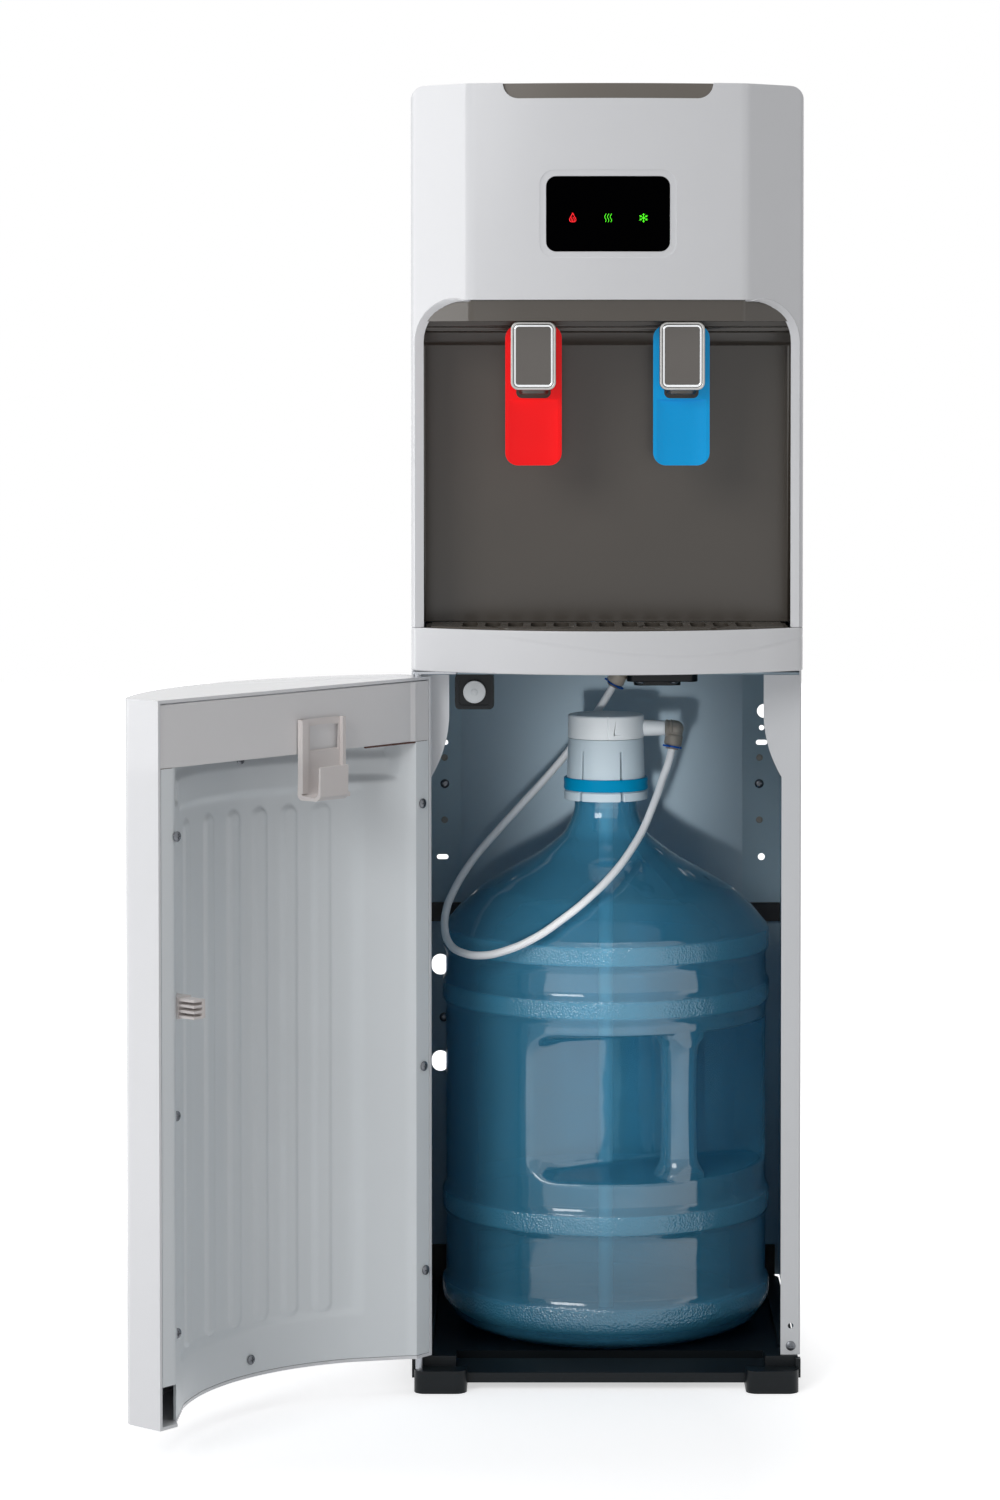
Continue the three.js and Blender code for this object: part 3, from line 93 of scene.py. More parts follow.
# %% The hose's centre line, from the elbow's collet round to the pump's
HOSE_DIAMETER = 0.00635
HOSE_ROUTE = [
    (0.0563, -0.0012, 0.4978),
    (0.0536, -0.0044, 0.4871),
    (0.0486, -0.0100, 0.4742),
    (0.0438, -0.0200, 0.4617),
    (0.0391, -0.0300, 0.4512),
    (0.0325, -0.0440, 0.4375),
    (0.0239, -0.0620, 0.4247),
    (0.0068, -0.0900, 0.4052),
    (-0.0162, -0.1140, 0.3856),
    (-0.0347, -0.1230, 0.3721),
    (-0.0572, -0.1290, 0.3577),
    (-0.0839, -0.1260, 0.3460),
    (-0.1006, -0.1190, 0.3422),
    (-0.1150, -0.1070, 0.3425),
    (-0.1257, -0.0920, 0.3470),
    (-0.1308, -0.0720, 0.3588),
    (-0.1296, -0.0570, 0.3714),
    (-0.1268, -0.0470, 0.3791),
    (-0.1105, -0.0200, 0.4050),
    (-0.0897, 0.0020, 0.4278),
    (-0.0686, 0.0200, 0.4492),
    (-0.0471, 0.0340, 0.4713),
    (-0.0257, 0.0400, 0.4967),
    (-0.0053, 0.0380, 0.5255),
    (0.0053, 0.0310, 0.5429),
    (0.0086, 0.0300, 0.5493),
]
hose_line = bpy.data.curves.new("suction_hose", "CURVE")
hose_line.dimensions = "3D"
hose_line.resolution_u = 6
hose_line.bevel_depth = HOSE_DIAMETER / 2
hose_line.bevel_resolution = 5
hose_line.use_fill_caps = True
strand = hose_line.splines.new("BEZIER")
strand.bezier_points.add(len(HOSE_ROUTE) - 1)
for knot, place in zip(strand.bezier_points, HOSE_ROUTE):
    knot.co = place
    knot.handle_left_type = "AUTO"
    knot.handle_right_type = "AUTO"
hose = bpy.data.objects.new("suction_hose", hose_line)
bpy.context.scene.collection.objects.link(hose)

# %% [markdown]
# ## Finishes
#
# Moulded plastic is never one flat colour. The gloss wanders a little over the surface, and close to
# the light there is a faint orange peel. We could paint that as pictures, but noise read from object
# coordinates works on any shape and needs no unwrapping, so one recipe serves for every finish.

# %% A colour swatch as light
def swatch(red, green, blue):
    """A colour from 0 to 255, as the amounts of light that a shader adds up."""
    shares = [value / 255 for value in (red, green, blue)]
    return [s / 12.92 if s <= 0.04045 else ((s + 0.055) / 1.055) ** 2.4 for s in shares] + [1.0]


# %% Nodes with their values and links
def put(tree, kind, inputs, **settings):
    """A new shader node, with its settings, and with a value or a link for each input."""
    node = tree.nodes.new("ShaderNode" + kind)
    for setting, value in settings.items():
        setattr(node, setting, value)
    for socket, value in inputs.items():
        if isinstance(value, bpy.types.NodeSocket):
            tree.links.new(value, node.inputs[socket])
        else:
            node.inputs[socket].default_value = value
    return node


def reckon(tree, operation, *values):
    """The result of a Math node."""
    return put(tree, "Math", dict(enumerate(values)), operation=operation).outputs["Value"]


# %% The recipe for a finish
CLOUD_SPAN = (0.3, 0.7)  # the noise seldom leaves this range
GRAIN_DEPTH = 0.0005


def finish(name, colour, roughness, spread=0.04, tint=0.05, cloud=9.0, grain=1400.0, relief=0.03, **sockets):
    """Noise in large clouds moves the colour and the gloss, and a fine grain gives the relief."""
    material = bpy.data.materials.new(name)
    material.use_nodes = True
    tree = material.node_tree
    shader = tree.nodes["Principled BSDF"]
    place = put(tree, "TexCoord", {}).outputs["Object"]
    clouds = put(tree, "TexNoise", {"Vector": place, "Scale": cloud, "Detail": 3.0}).outputs["Fac"]
    shades = put(tree, "ValToRGB", {"Fac": clouds})
    for stop, where, share in zip(shades.color_ramp.elements, CLOUD_SPAN, (1.0 - tint, 1.0)):
        stop.position = where
        stop.color = [value * share for value in colour[:3]] + [1.0]
    ends = {"From Min": CLOUD_SPAN[0], "From Max": CLOUD_SPAN[1]}
    ends.update({"To Min": max(roughness - spread, 0.02), "To Max": roughness + spread})
    gloss = put(tree, "MapRange", {"Value": clouds, **ends})
    fine = put(tree, "TexNoise", {"Vector": place, "Scale": grain, "Detail": 2.0}).outputs["Fac"]
    bump = put(tree, "Bump", {"Height": fine, "Strength": relief, "Distance": GRAIN_DEPTH})
    tree.links.new(shades.outputs["Color"], shader.inputs["Base Color"])
    tree.links.new(gloss.outputs["Result"], shader.inputs["Roughness"])
    tree.links.new(bump.outputs["Normal"], shader.inputs["Normal"])
    for socket, value in sockets.items():
        shader.inputs[socket.replace("_", " ")].default_value = value
    return material


# %% The finishes of the machine
WHITE_GLOSS = finish(
    "white_gloss", swatch(236, 237, 240), 0.24, spread=0.03, tint=0.02, relief=0.02, Coat_Weight=0.25
)
INNER_STEEL = finish("inner_steel", swatch(184, 204, 216), 0.42, tint=0.06, grain=700.0, relief=0.08)
BAY_PLASTIC = finish("bay_plastic", swatch(88, 82, 75), 0.20, relief=0.02, Specular_IOR_Level=0.55)
COVER_PLASTIC = finish("cover_plastic", swatch(112, 106, 99), 0.34, tint=0.05, relief=0.05)
BLACK_PLASTIC = finish(
    "black_plastic", swatch(16, 22, 26), 0.34, tint=0.12, grain=1100.0, relief=0.08, Specular_IOR_Level=0.25
)
BLACK_METAL = finish("black_metal", swatch(26, 27, 30), 0.38, tint=0.12, relief=0.06, Metallic=0.2)
HINGE_STEEL = finish("hinge_steel", swatch(176, 179, 184), 0.32, tint=0.08, relief=0.05, Metallic=1.0)
BOARD_GREEN = finish("board_green", swatch(30, 92, 54), 0.45, tint=0.15, cloud=120.0, relief=0.1)
LINER_GREY = finish("liner_grey", swatch(240, 245, 248), 0.36, tint=0.02, grain=1000.0, relief=0.05)
BAND_GREY = finish("band_grey", swatch(240, 239, 240), 0.36, tint=0.02, grain=1000.0, relief=0.05)
CREAM_PLASTIC = finish("cream_plastic", swatch(232, 226, 224), 0.38, tint=0.03, relief=0.05)
LID_WHITE = finish("lid_white", swatch(236, 240, 242), 0.40, tint=0.02, relief=0.06)
COLLAR_WHITE = finish("collar_white", swatch(196, 210, 218), 0.36, tint=0.04, relief=0.05)
RING_BLUE = finish("ring_blue", swatch(0, 138, 184), 0.34, tint=0.08, relief=0.05, Specular_IOR_Level=0.08)
CLIP_BLUE = finish("clip_blue", swatch(10, 104, 214), 0.32, tint=0.08, relief=0.05)
FITTING_BEIGE = finish("fitting_beige", swatch(178, 168, 156), 0.42, tint=0.06, relief=0.06)
HOSE_WHITE = finish("hose_white", swatch(238, 240, 242), 0.32, tint=0.03, relief=0.03)
SATIN_GREY = finish("satin_grey", swatch(176, 175, 173), 0.34, tint=0.04, relief=0.04, Metallic=0.9)
CHROME = finish("chrome", swatch(236, 238, 240), 0.06, spread=0.02, tint=0.02, relief=0.01, Metallic=1.0)
INSERT_GREY = finish("insert_grey", swatch(104, 100, 96), 0.40, tint=0.05, relief=0.06, Metallic=0.1)
DISPLAY_BLACK = finish("display_black", swatch(3, 3, 4), 0.10, tint=0.3, relief=0.005, Specular_IOR_Level=0.0)
STAINLESS = finish("stainless", swatch(188, 190, 194), 0.32, tint=0.06, relief=0.08, Metallic=1.0)
COPPER = finish("copper", swatch(196, 124, 84), 0.32, tint=0.12, relief=0.08, Metallic=1.0)
FOAM_WHITE = finish("foam_white", swatch(228, 226, 216), 0.80, tint=0.08, cloud=60.0, grain=500.0, relief=0.4)
SCREW_STEEL = finish("screw_steel", swatch(112, 115, 120), 0.32, tint=0.12, relief=0.05, Metallic=0.9)
# A dark brown that paints the shade in the gaps under the door's band.
PAINTED_GAP_SHADE = finish("painted_gap_shade", swatch(92, 58, 50), 0.7, tint=0.2, relief=0.1)
ROCKER_RED = finish("rocker_red", swatch(196, 34, 30), 0.32, tint=0.08, relief=0.03)
ROCKER_GREEN = finish("rocker_green", swatch(30, 140, 72), 0.32, tint=0.08, relief=0.03)
print(len(bpy.data.materials), "finishes so far")


# %% Colours that shine: the display's lamps, and painted light on the levers
def lamp_or_painted_glow(name, colour, strength, roughness=0.4, **sockets):
    """A finish that gives off light of its own colour: a real lamp on the display, painted light on the
    levers.
    """
    lamp_or_painted_light = {"Emission_Color": colour, "Emission_Strength": strength}
    return finish(name, colour, roughness, **lamp_or_painted_light, **sockets)


clear_gloss = {"roughness": 0.16, "tint": 0.05, "relief": 0.01, "Specular_IOR_Level": 0.22}
# The levers are no lamps: their small emission is painted light that makes their red and blue brighter.
LEVER_RED_PAINTED_GLOW = lamp_or_painted_glow("lever_red_painted_glow", swatch(255, 8, 16), 0.28, **clear_gloss)
LEVER_BLUE_PAINTED_GLOW = lamp_or_painted_glow("lever_blue_painted_glow", swatch(0, 158, 224), 0.21, **clear_gloss)
GLOW_RED = lamp_or_painted_glow("glow_red", swatch(255, 26, 34), 1.3, tint=0.3, cloud=900.0)
GLOW_GREEN = lamp_or_painted_glow("glow_green", swatch(76, 240, 22), 1.2, tint=0.3, cloud=900.0)
print("two colours for the levers, and two for the lamps of the display")

# %% [markdown]
# ## Shaping tools
#
# Most of these mouldings are an outline carried along a straight line, or a profile turned about an
# axis. We could push each corner of a cube into place, but a circle whose points are laid onto the
# outline gives the same start in one step, and extrude or spin does the rest.

# %% Selecting and editing one piece
def only(piece):
    bpy.ops.object.select_all(action="DESELECT")
    piece.select_set(True)
    bpy.context.view_layer.objects.active = piece


def start_edit(piece):
    only(piece)
    bpy.ops.object.mode_set(mode="EDIT")
    bpy.ops.mesh.select_all(action="SELECT")


def end_edit():
    bpy.ops.object.mode_set(mode="OBJECT")


# %% An outline laid out from a circle
PLANES = {
    "XY": lambda u, v, w: (u, v, w),
    "XZ": lambda u, v, w: (u, w, v),
    "YZ": lambda u, v, w: (w, u, v),
}


def laid_out(name, points, plane, level, fill):
    bpy.ops.object.select_all(action="DESELECT")
    bpy.ops.mesh.primitive_circle_add(vertices=len(points), fill_type=fill)
    piece = bpy.context.object
    piece.name = piece.data.name = name
    for vertex, (u, v) in zip(piece.data.vertices, points):
        vertex.co = Vector(PLANES[plane](u, v, level)) * MM
    return piece


def slab(name, points, low, high, plane="XY"):
    """An outline in one plane, extruded across it."""
    piece = laid_out(name, points, plane, low, "NGON")
    start_edit(piece)
    across = Vector(PLANES[plane](0.0, 0.0, high - low)) * MM
    bpy.ops.mesh.extrude_region_move(TRANSFORM_OT_translate={"value": across})
    bpy.ops.mesh.select_all(action="SELECT")
    bpy.ops.mesh.normals_make_consistent(inside=False)
    end_edit()
    return piece


def spun(name, profile, x=0.0, y=0.0, steps=64):
    """A profile of radius and height, spun about an upright axis, with its poles closed."""
    piece = laid_out(name, [(x + r, z) for r, z in profile], "XZ", y, "NOTHING")
    start_edit(piece)
    bpy.ops.mesh.spin(steps=steps, angle=math.tau, center=Vector((x, y, 0.0)) * MM, axis=(0.0, 0.0, 1.0))
    bpy.ops.mesh.select_all(action="SELECT")
    bpy.ops.mesh.remove_doubles(threshold=1e-6)
    bpy.ops.mesh.delete_loose(use_verts=True, use_edges=True, use_faces=False)
    bpy.ops.mesh.select_all(action="SELECT")
    bpy.ops.mesh.normals_make_consistent(inside=False)
    end_edit()
    return piece


def block(name, x0, x1, y0, y1, z0, z1):
    return slab(name, [(x0, y0), (x1, y0), (x1, y1), (x0, y1)], z0, z1)


# %% Placing a turned piece along any line
def aim(piece, start, towards):
    """Turns a piece made about the Z axis so that Z points at towards, and moves its foot to start."""
    turn = Vector((0.0, 0.0, 1.0)).rotation_difference(Vector(towards).normalized()).to_matrix().to_4x4()
    piece.data.transform(Matrix.Translation(Vector(start) * MM) @ turn)
    return piece


def rod(name, start, end, radius, radius_end=None, steps=40, rim=0.4):
    """A round bar between two points, with its rims broken."""
    length = (Vector(end) - Vector(start)).length
    last = radius if radius_end is None else radius_end
    profile = [(0, 0), (radius - rim, 0), (radius, rim)]
    profile += [(last, length - rim), (last - rim, length), (0, length)]
    return aim(spun(name, profile, steps=steps), start, Vector(end) - Vector(start))


# %% Cutting, joining and rounding
def boolean(piece, tool, how):
    only(piece)
    step = piece.modifiers.new("shape", "BOOLEAN")
    step.operation = how
    step.solver = "EXACT"
    step.object = tool
    bpy.ops.object.modifier_apply(modifier=step.name)
    bpy.data.objects.remove(tool)


def cut(piece, *tools):
    for tool in tools:
        boolean(piece, tool, "DIFFERENCE")
    return piece


def keep(piece, tool):
    boolean(piece, tool, "INTERSECT")
    return piece


def fuse(piece, *tools):
    for tool in tools:
        boolean(piece, tool, "UNION")
    return piece


def gather(name, pieces):
    """Several loose shapes as one piece."""
    only(pieces[0])
    for piece in pieces[1:]:
        piece.select_set(True)
    if len(pieces) > 1:
        bpy.ops.object.join()
    made = bpy.context.view_layer.objects.active
    made.name = made.data.name = name
    return made


def soften(piece, width, segments=3, angle=35.0, smooth=32.0):
    """Rounds the sharp edges, and shades across everything flatter than the given angle."""
    only(piece)
    edge = piece.modifiers.new("edge", "BEVEL")
    edge.width = width * MM
    edge.segments = segments
    edge.limit_method = "ANGLE"
    edge.angle_limit = math.radians(angle)
    bpy.ops.object.modifier_apply(modifier=edge.name)
    return shade(piece, smooth)


def shade(piece, smooth=32.0):
    only(piece)
    bpy.ops.object.shade_smooth_by_angle(angle=math.radians(smooth))
    even = piece.modifiers.new("even", "WEIGHTED_NORMAL")
    even.keep_sharp = True
    bpy.ops.object.modifier_apply(modifier=even.name)
    return piece


# %% A sheet laid out from a grid
def grid_sheet(name, columns, rows, place_at, thickness, offset):
    """A grid whose points are laid where place_at(column, row) says, with a thickness."""
    bpy.ops.object.select_all(action="DESELECT")
    bpy.ops.mesh.primitive_grid_add(x_subdivisions=columns - 1, y_subdivisions=rows - 1)
    sheet = bpy.context.object
    sheet.name = sheet.data.name = name
    for i, vertex in enumerate(sheet.data.vertices):
        vertex.co = Vector(place_at(i % columns, i // columns)) * MM
    thick = sheet.modifiers.new("thick", "SOLIDIFY")
    thick.thickness = thickness * MM
    thick.offset = offset
    only(sheet)
    bpy.ops.object.modifier_apply(modifier=thick.name)
    start_edit(sheet)
    bpy.ops.mesh.normals_make_consistent(inside=False)
    end_edit()
    return sheet


# %% Giving a piece its finish and its place
def dress(piece, material, body, slot, *nodes):
    """The finish, the moving body, the material slot and the drawn nodes that a piece stands for; the
    material slot is not used.
    """
    piece.data.materials.clear()
    piece.data.materials.append(material)
    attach(piece, body)
    if nodes:
        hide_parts(*nodes)
    print(piece.name, "in", material.name, "rides on", body)
    return piece


def carry_over(material, *nodes):
    """The drawing's own shape, with a real finish."""
    for node in nodes:
        for place in frame["nodes"][node].material_slots:
            place.link = "OBJECT"
            place.material = material


dress(hose, HOSE_WHITE, "cabinet", "tube_white", "probe_hose")

# %% [markdown]
# ## Sizes from the drawing
#
# The pieces have to fit the drawing, so their driving sizes are read from its boxes, and only the
# curves of the bow are written here.

# %% The driving sizes
def low_high(node):
    low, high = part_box(node)
    return low / MM, high / MM


head_low, head_high = low_high("head_fascia")
HALF = head_high.x
HEAD_TOP = head_high.z
HEAD_BOTTOM = head_low.z
FLANGE = head_high.y
FRONT = head_low.y
BOW_DEPTH = FLANGE - FRONT
steel_low, steel_high = low_high("right_side_panel")
PANEL = steel_high.x
BACK = steel_high.y
BOW_RADIUS = 258.4
HEAD_RADIUS = 483.0
CREASE_X = 107.0
CREASE_ROUND = 20.0
CORNER = 10.0
WALL = 3.0
GAP = 0.3
SHELF = 571.0
print("bow", round(BOW_DEPTH, 1), "mm deep, half width", round(HALF, 1))


# %% The bowed front in plan
def arc(centre, radius, start, end, steps):
    """Points of an arc, with its angles taken from straight ahead towards the side."""
    turns = [start + (end - start) * i / steps for i in range(steps + 1)]
    return [(centre[0] + radius * math.sin(t), centre[1] + radius * math.cos(t)) for t in turns]


def half_bow(half, creased, inset):
    side = half - CORNER
    drop = BOW_RADIUS - math.sqrt((BOW_RADIUS - CORNER) ** 2 - side ** 2)
    corner = (side, BOW_DEPTH - drop)
    if not creased:
        turn = math.asin(side / (BOW_RADIUS - CORNER))
        sweep = arc((0.0, BOW_DEPTH - BOW_RADIUS), BOW_RADIUS - inset, 0.0, turn, 30)
        return sweep + arc(corner, CORNER - inset, turn, math.pi / 2, 8)[1:]
    middle = Vector((0.0, BOW_DEPTH - HEAD_RADIUS))
    crease = Vector((CREASE_X, middle.y + math.sqrt(HEAD_RADIUS ** 2 - CREASE_X ** 2)))
    run = Vector((side - crease.x, crease.y - corner[1]))
    facing = math.atan2(run.y, run.x) - math.asin(CORNER / run.length)
    out = Vector((math.sin(facing), math.cos(facing)))
    along = Vector((math.cos(facing), -math.sin(facing)))
    start = crease - out * CREASE_ROUND - middle
    reach = start.dot(along)
    slide = -reach - math.sqrt(reach ** 2 - start.length_squared + (HEAD_RADIUS - CREASE_ROUND) ** 2)
    centre = middle + start + along * slide
    turn = math.atan2(centre.x - middle.x, centre.y - middle.y)
    sweep = arc(middle, HEAD_RADIUS - inset, 0.0, turn, 16)
    sweep += arc(centre, CREASE_ROUND - inset, turn, facing, 8)[1:]
    return sweep + arc(corner, CORNER - inset, facing, math.pi / 2, 8)


def bow(half, creased, inset, back):
    """The whole plan outline, moved inwards by inset and closed by a straight back."""
    right = half_bow(half, creased, inset)
    left = [(-x, ahead) for x, ahead in reversed(right[1:])]
    front = [(x, FLANGE - ahead) for x, ahead in left + right]
    return [(-(half - inset), back)] + front + [(half - inset, back)]


def rounded(x0, x1, z0, z1, r, steps=8):
    """A rectangle with round corners."""
    points = []
    middles = [(x1 - r, z1 - r), (x0 + r, z1 - r), (x0 + r, z0 + r), (x1 - r, z0 + r)]
    for quarter, (x, z) in enumerate(middles):
        for i in range(steps + 1):
            turn = (quarter + i / steps) * math.pi / 2
            points.append((x + r * math.cos(turn), z + r * math.sin(turn)))
    return points


# %% [markdown]
# ## The head
#
# The head is one thin white moulding, bent round the front in plan, with a soft crease on each side.
# A subdivided cage could give the same form, but its edges would drift from the drawing. We carry
# the true plan outline upwards instead, cut the openings, and round what is left sharp.

# %% The openings of the head
CROWN = 11.0
BAY_HALF = 144.0
BAY_TOP = 867.0
BAY_CORNER = 32.0
NOTCH_TOP = 81.25
NOTCH_DEPTH = 12.0
DISPLAY_Z = 933.5
DISPLAY_HALF = (47.6, 28.8)


def bay_outline(half, top, corner, bottom):
    points = [(-half, bottom), (half, bottom)]
    for quarter, x in enumerate((half - corner, -half + corner)):
        for i in range(11):
            turn = (quarter + i / 10) * math.pi / 2
            points.append((x + corner * math.cos(turn), top - corner + corner * math.sin(turn)))
    return points


def notch_outline():
    """A shallow dish with quarter-round ends."""
    points = [(NOTCH_TOP, HEAD_TOP + 2.0), (-NOTCH_TOP, HEAD_TOP + 2.0)]
    for side, order in ((-1, range(9)), (1, range(8, -1, -1))):
        for i in order:
            turn = i / 8 * math.pi / 2
            x = NOTCH_TOP - NOTCH_DEPTH * (1.0 - math.cos(turn))
            points.append((side * x, HEAD_TOP - NOTCH_DEPTH * math.sin(turn)))
    return points


def face_plate(name, grow, corner, outer, inner):
    """A rounded rectangle over the display, kept between two offsets of the bow."""
    w, h = DISPLAY_HALF[0] + grow, DISPLAY_HALF[1] + grow
    plate = slab(name, rounded(-w, w, DISPLAY_Z - h, DISPLAY_Z + h, corner), FRONT - 10, FRONT + 14, "XZ")
    keep(plate, slab("skin", bow(HALF, True, outer, FLANGE), 800, 1100))
    return cut(plate, slab("core", bow(HALF, True, inner, FLANGE + 3), 790, 1110))


# %% The rim of the bay, wide at the sides and thin along the top
RETURN = 6.8
RETURN_TOP = 0.4
RETURN_SHEET = 1.0


def rim_points():
    """Inner and outer points of the rim, from the right foot over the top to the left foot."""
    line = [(BAY_HALF, HEAD_BOTTOM, 0.0)]
    for i, (x, z) in enumerate(bay_outline(BAY_HALF, BAY_TOP, BAY_CORNER, 0)[2:]):
        line.append((x, z, (i if i < 11 else i - 1) / 20 * math.pi))
    line.append((-BAY_HALF, HEAD_BOTTOM, math.pi))
    rim = []
    for x, z, turn in line:
        wide = RETURN_TOP + (RETURN - RETURN_TOP) * abs(math.cos(turn)) ** 0.6
        rim.append(((x, z), (x + wide * math.cos(turn), z + wide * math.sin(turn)), wide))
    return rim


def ahead_at(x):
    """How far the head's face lies ahead of the flange plane."""
    face = half_bow(HALF, True, 0.0)
    for (x0, a0), (x1, a1) in zip(face, face[1:]):
        if x0 <= abs(x) <= x1 and x1 > x0:
            return a0 + (a1 - a0) * (abs(x) - x0) / (x1 - x0)
    return face[-1][1]


def bay_return():
    """The rim as a thin sheet that runs from the face inwards to the bay."""
    rim, steps = rim_points(), 5

    def place_at(step, point):
        (inner, outer, wide), t = rim[point], step / (steps - 1)
        y_outer = FLANGE - ahead_at(outer[0]) + GAP
        y_inner = FLANGE - ahead_at(inner[0]) + 1.0 + 6.0 * wide / RETURN
        x, z = (o + (n - o) * t for o, n in zip(outer, inner))
        return x, y_outer + (y_inner - y_outer) * t ** 1.3, z

    return shade(grid_sheet("bay_return", steps, len(rim), place_at, RETURN_SHEET, -1.0), 40.0)


# %% The white head moulding
def under_crown():
    """The space under the two rounded upper corners."""
    return slab("sides", rounded(-HALF, HALF, 400, HEAD_TOP, CROWN), FRONT - 5, FLANGE + 5, "XZ")


bay_edge = [(-BAY_HALF - RETURN, SHELF), (BAY_HALF + RETURN, SHELF)] + [outer for _, outer, _ in rim_points()]
head = slab("head_moulding", bow(HALF, True, 0.0, FLANGE), HEAD_BOTTOM, HEAD_TOP)
keep(head, under_crown())
cut(
    head,
    slab("room", bow(HALF, True, WALL, FLANGE + 5), HEAD_BOTTOM - 5, HEAD_TOP + 5),
    slab("notch", notch_outline(), FRONT - 5, FRONT + 30, "XZ"),
    slab("bay", bay_edge, FRONT - 5, FLANGE + 5, "XZ"),
    face_plate("recess", 5.0, 11.0, -4.0, 0.7),
    face_plate("window", 0.3, 7.8, -4.0, 6.0),
)
soften(head, 1.1, 3, 30.0)
dress(head, WHITE_GLOSS, "cabinet", "white_gloss", "head_fascia")
dress(bay_return(), WHITE_GLOSS, "cabinet", "white_gloss")
print("head:", len(head.data.polygons), "faces")

# %% [markdown]
# ## The display
#
# A smoked window hides three lamps. Its symbols are a drop, steam and a snowflake, drawn as strokes
# of light on the glass. A picture could carry them, but short strokes with round ends stay sharp at
# any distance, so we lay them out as thin shapes and wrap them to the bow.

# %% The black window
GLASS_SUNK = 1.4
STROKE_PROUD = 0.22
window = face_plate("display_glass", 0.0, 7.5, GLASS_SUNK, 3.6)
soften(window, 0.5, 2, 40.0)
dress(window, DISPLAY_BLACK, "cabinet", "display_glass", "display_window")


# %% A stroke with round ends
def stroke(points, width):
    """A flat ribbon along some points, as an outline."""
    line = [Vector(p) for p in points]
    left, right = [], []
    for i, point in enumerate(line):
        before, after = line[max(i - 1, 0)], line[min(i + 1, len(line) - 1)]
        along = (after - before).normalized()
        off = Vector((-along.y, along.x)) * width / 2
        left.append(point + off)
        right.append(point - off)
    cap_end = line[-1] + (line[-1] - line[-2]).normalized() * width / 2
    cap_start = line[0] + (line[0] - line[1]).normalized() * width / 2
    return [tuple(p) for p in left + [cap_end] + right[::-1] + [cap_start]]


SYMBOL_Z = 930.4
SYMBOL_PITCH = 27.3
SYMBOL_SCALE = 0.92
STROKE_WIDTH = 0.38
STROKE_DEEP = 0.25


def symbol(name, strokes, x, material):
    """Strokes placed round a middle and laid on the curved glass."""
    parts = []
    for points in strokes:
        placed = [(x + u * SYMBOL_SCALE, SYMBOL_Z + v * SYMBOL_SCALE) for u, v in points]
        parts.append(slab("stroke", stroke(placed, STROKE_WIDTH), 0.0, STROKE_DEEP, "XZ"))
    piece = gather(name, parts)
    for vertex in piece.data.vertices:
        ahead = BOW_DEPTH - HEAD_RADIUS + math.sqrt(HEAD_RADIUS ** 2 - (vertex.co.x / MM) ** 2)
        vertex.co.y += (FLANGE - ahead + GLASS_SUNK - STROKE_PROUD) * MM
    return dress(piece, material, "cabinet", "display_glass")


# %% The three symbols
drop_side = [(1.0, 2.1), (2.1, 0.2), (2.8, -1.4), (2.4, -2.7), (1.3, -3.3)]
drop = [(0.0, 4.1)] + [(-x, z) for x, z in drop_side] + [(0.0, -3.4)] + drop_side[::-1] + [(0.0, 4.1)]
tongue = [(0.0, -2.8), (0.0, -1.0)]
flames = [[(s * 1.2, -2.4), (s * 1.3, -1.2), (s * 0.5, 0.6)] for s in (-1, 1)]
steam = [[(s * 2.3 + 0.6 * math.sin(t * 0.75), -3.4 + 6.8 * t / 10) for t in range(11)] for s in (-1, 0, 1)]
frost = []
for arm in range(6):
    turn = arm / 6 * math.tau + math.pi / 2
    tip, mid = [(r * math.cos(turn), r * math.sin(turn)) for r in (3.8, 2.3)]
    frost.append([(0.0, 0.0), tip])
    for side in (-1, 1):
        bend = turn + side * 0.9
        frost.append([mid, (mid[0] + 1.1 * math.cos(bend), mid[1] + 1.1 * math.sin(bend))])
symbol("symbol_drop", [drop, tongue] + flames, -SYMBOL_PITCH, GLOW_RED)
symbol("symbol_steam", steam, 0.0, GLOW_GREEN)
symbol("symbol_frost", frost, SYMBOL_PITCH, GLOW_GREEN)
print("three symbols on the glass")

# %% [markdown]
# ## The top cover and the bay
#
# The cover and the bay are grey-brown plastic. The bay's lining is a deep tray on its side, with a
# valance that follows the bow and a stepped moulding under its roof. A hollow box could stand for it,
# but the lining mirrors the levers softly, so we cut a room with round corners out of a solid and
# keep the walls truly flat.

# %% The top cover
COVER_DEEP = 29.7
COVER_LOW = HEAD_TOP - COVER_DEEP
COVER_FRONT = FLANGE + GAP
cover = slab("top_lid", bow(HALF, True, WALL + GAP, FLANGE + 1), HEAD_TOP - 16, HEAD_TOP - GAP)
keep(cover, under_crown())
rear = slab("rear", rounded(-PANEL, PANEL, COVER_LOW, HEAD_TOP - GAP, 10.0), COVER_FRONT, BACK + 2, "XZ")
fuse(rear, block("square", -PANEL, PANEL, COVER_FRONT, BACK + 2, COVER_LOW, HEAD_TOP - 12.0))
cut(rear, block("room", -PANEL + 3, PANEL - 3, FLANGE + 3.5, BACK - 1, HEAD_TOP - 31, HEAD_TOP - 3.5))
fuse(cover, rear)
soften(cover, 1.0, 3, 35.0)
dress(cover, COVER_PLASTIC, "cabinet", "bay_plastic", "top_cover")

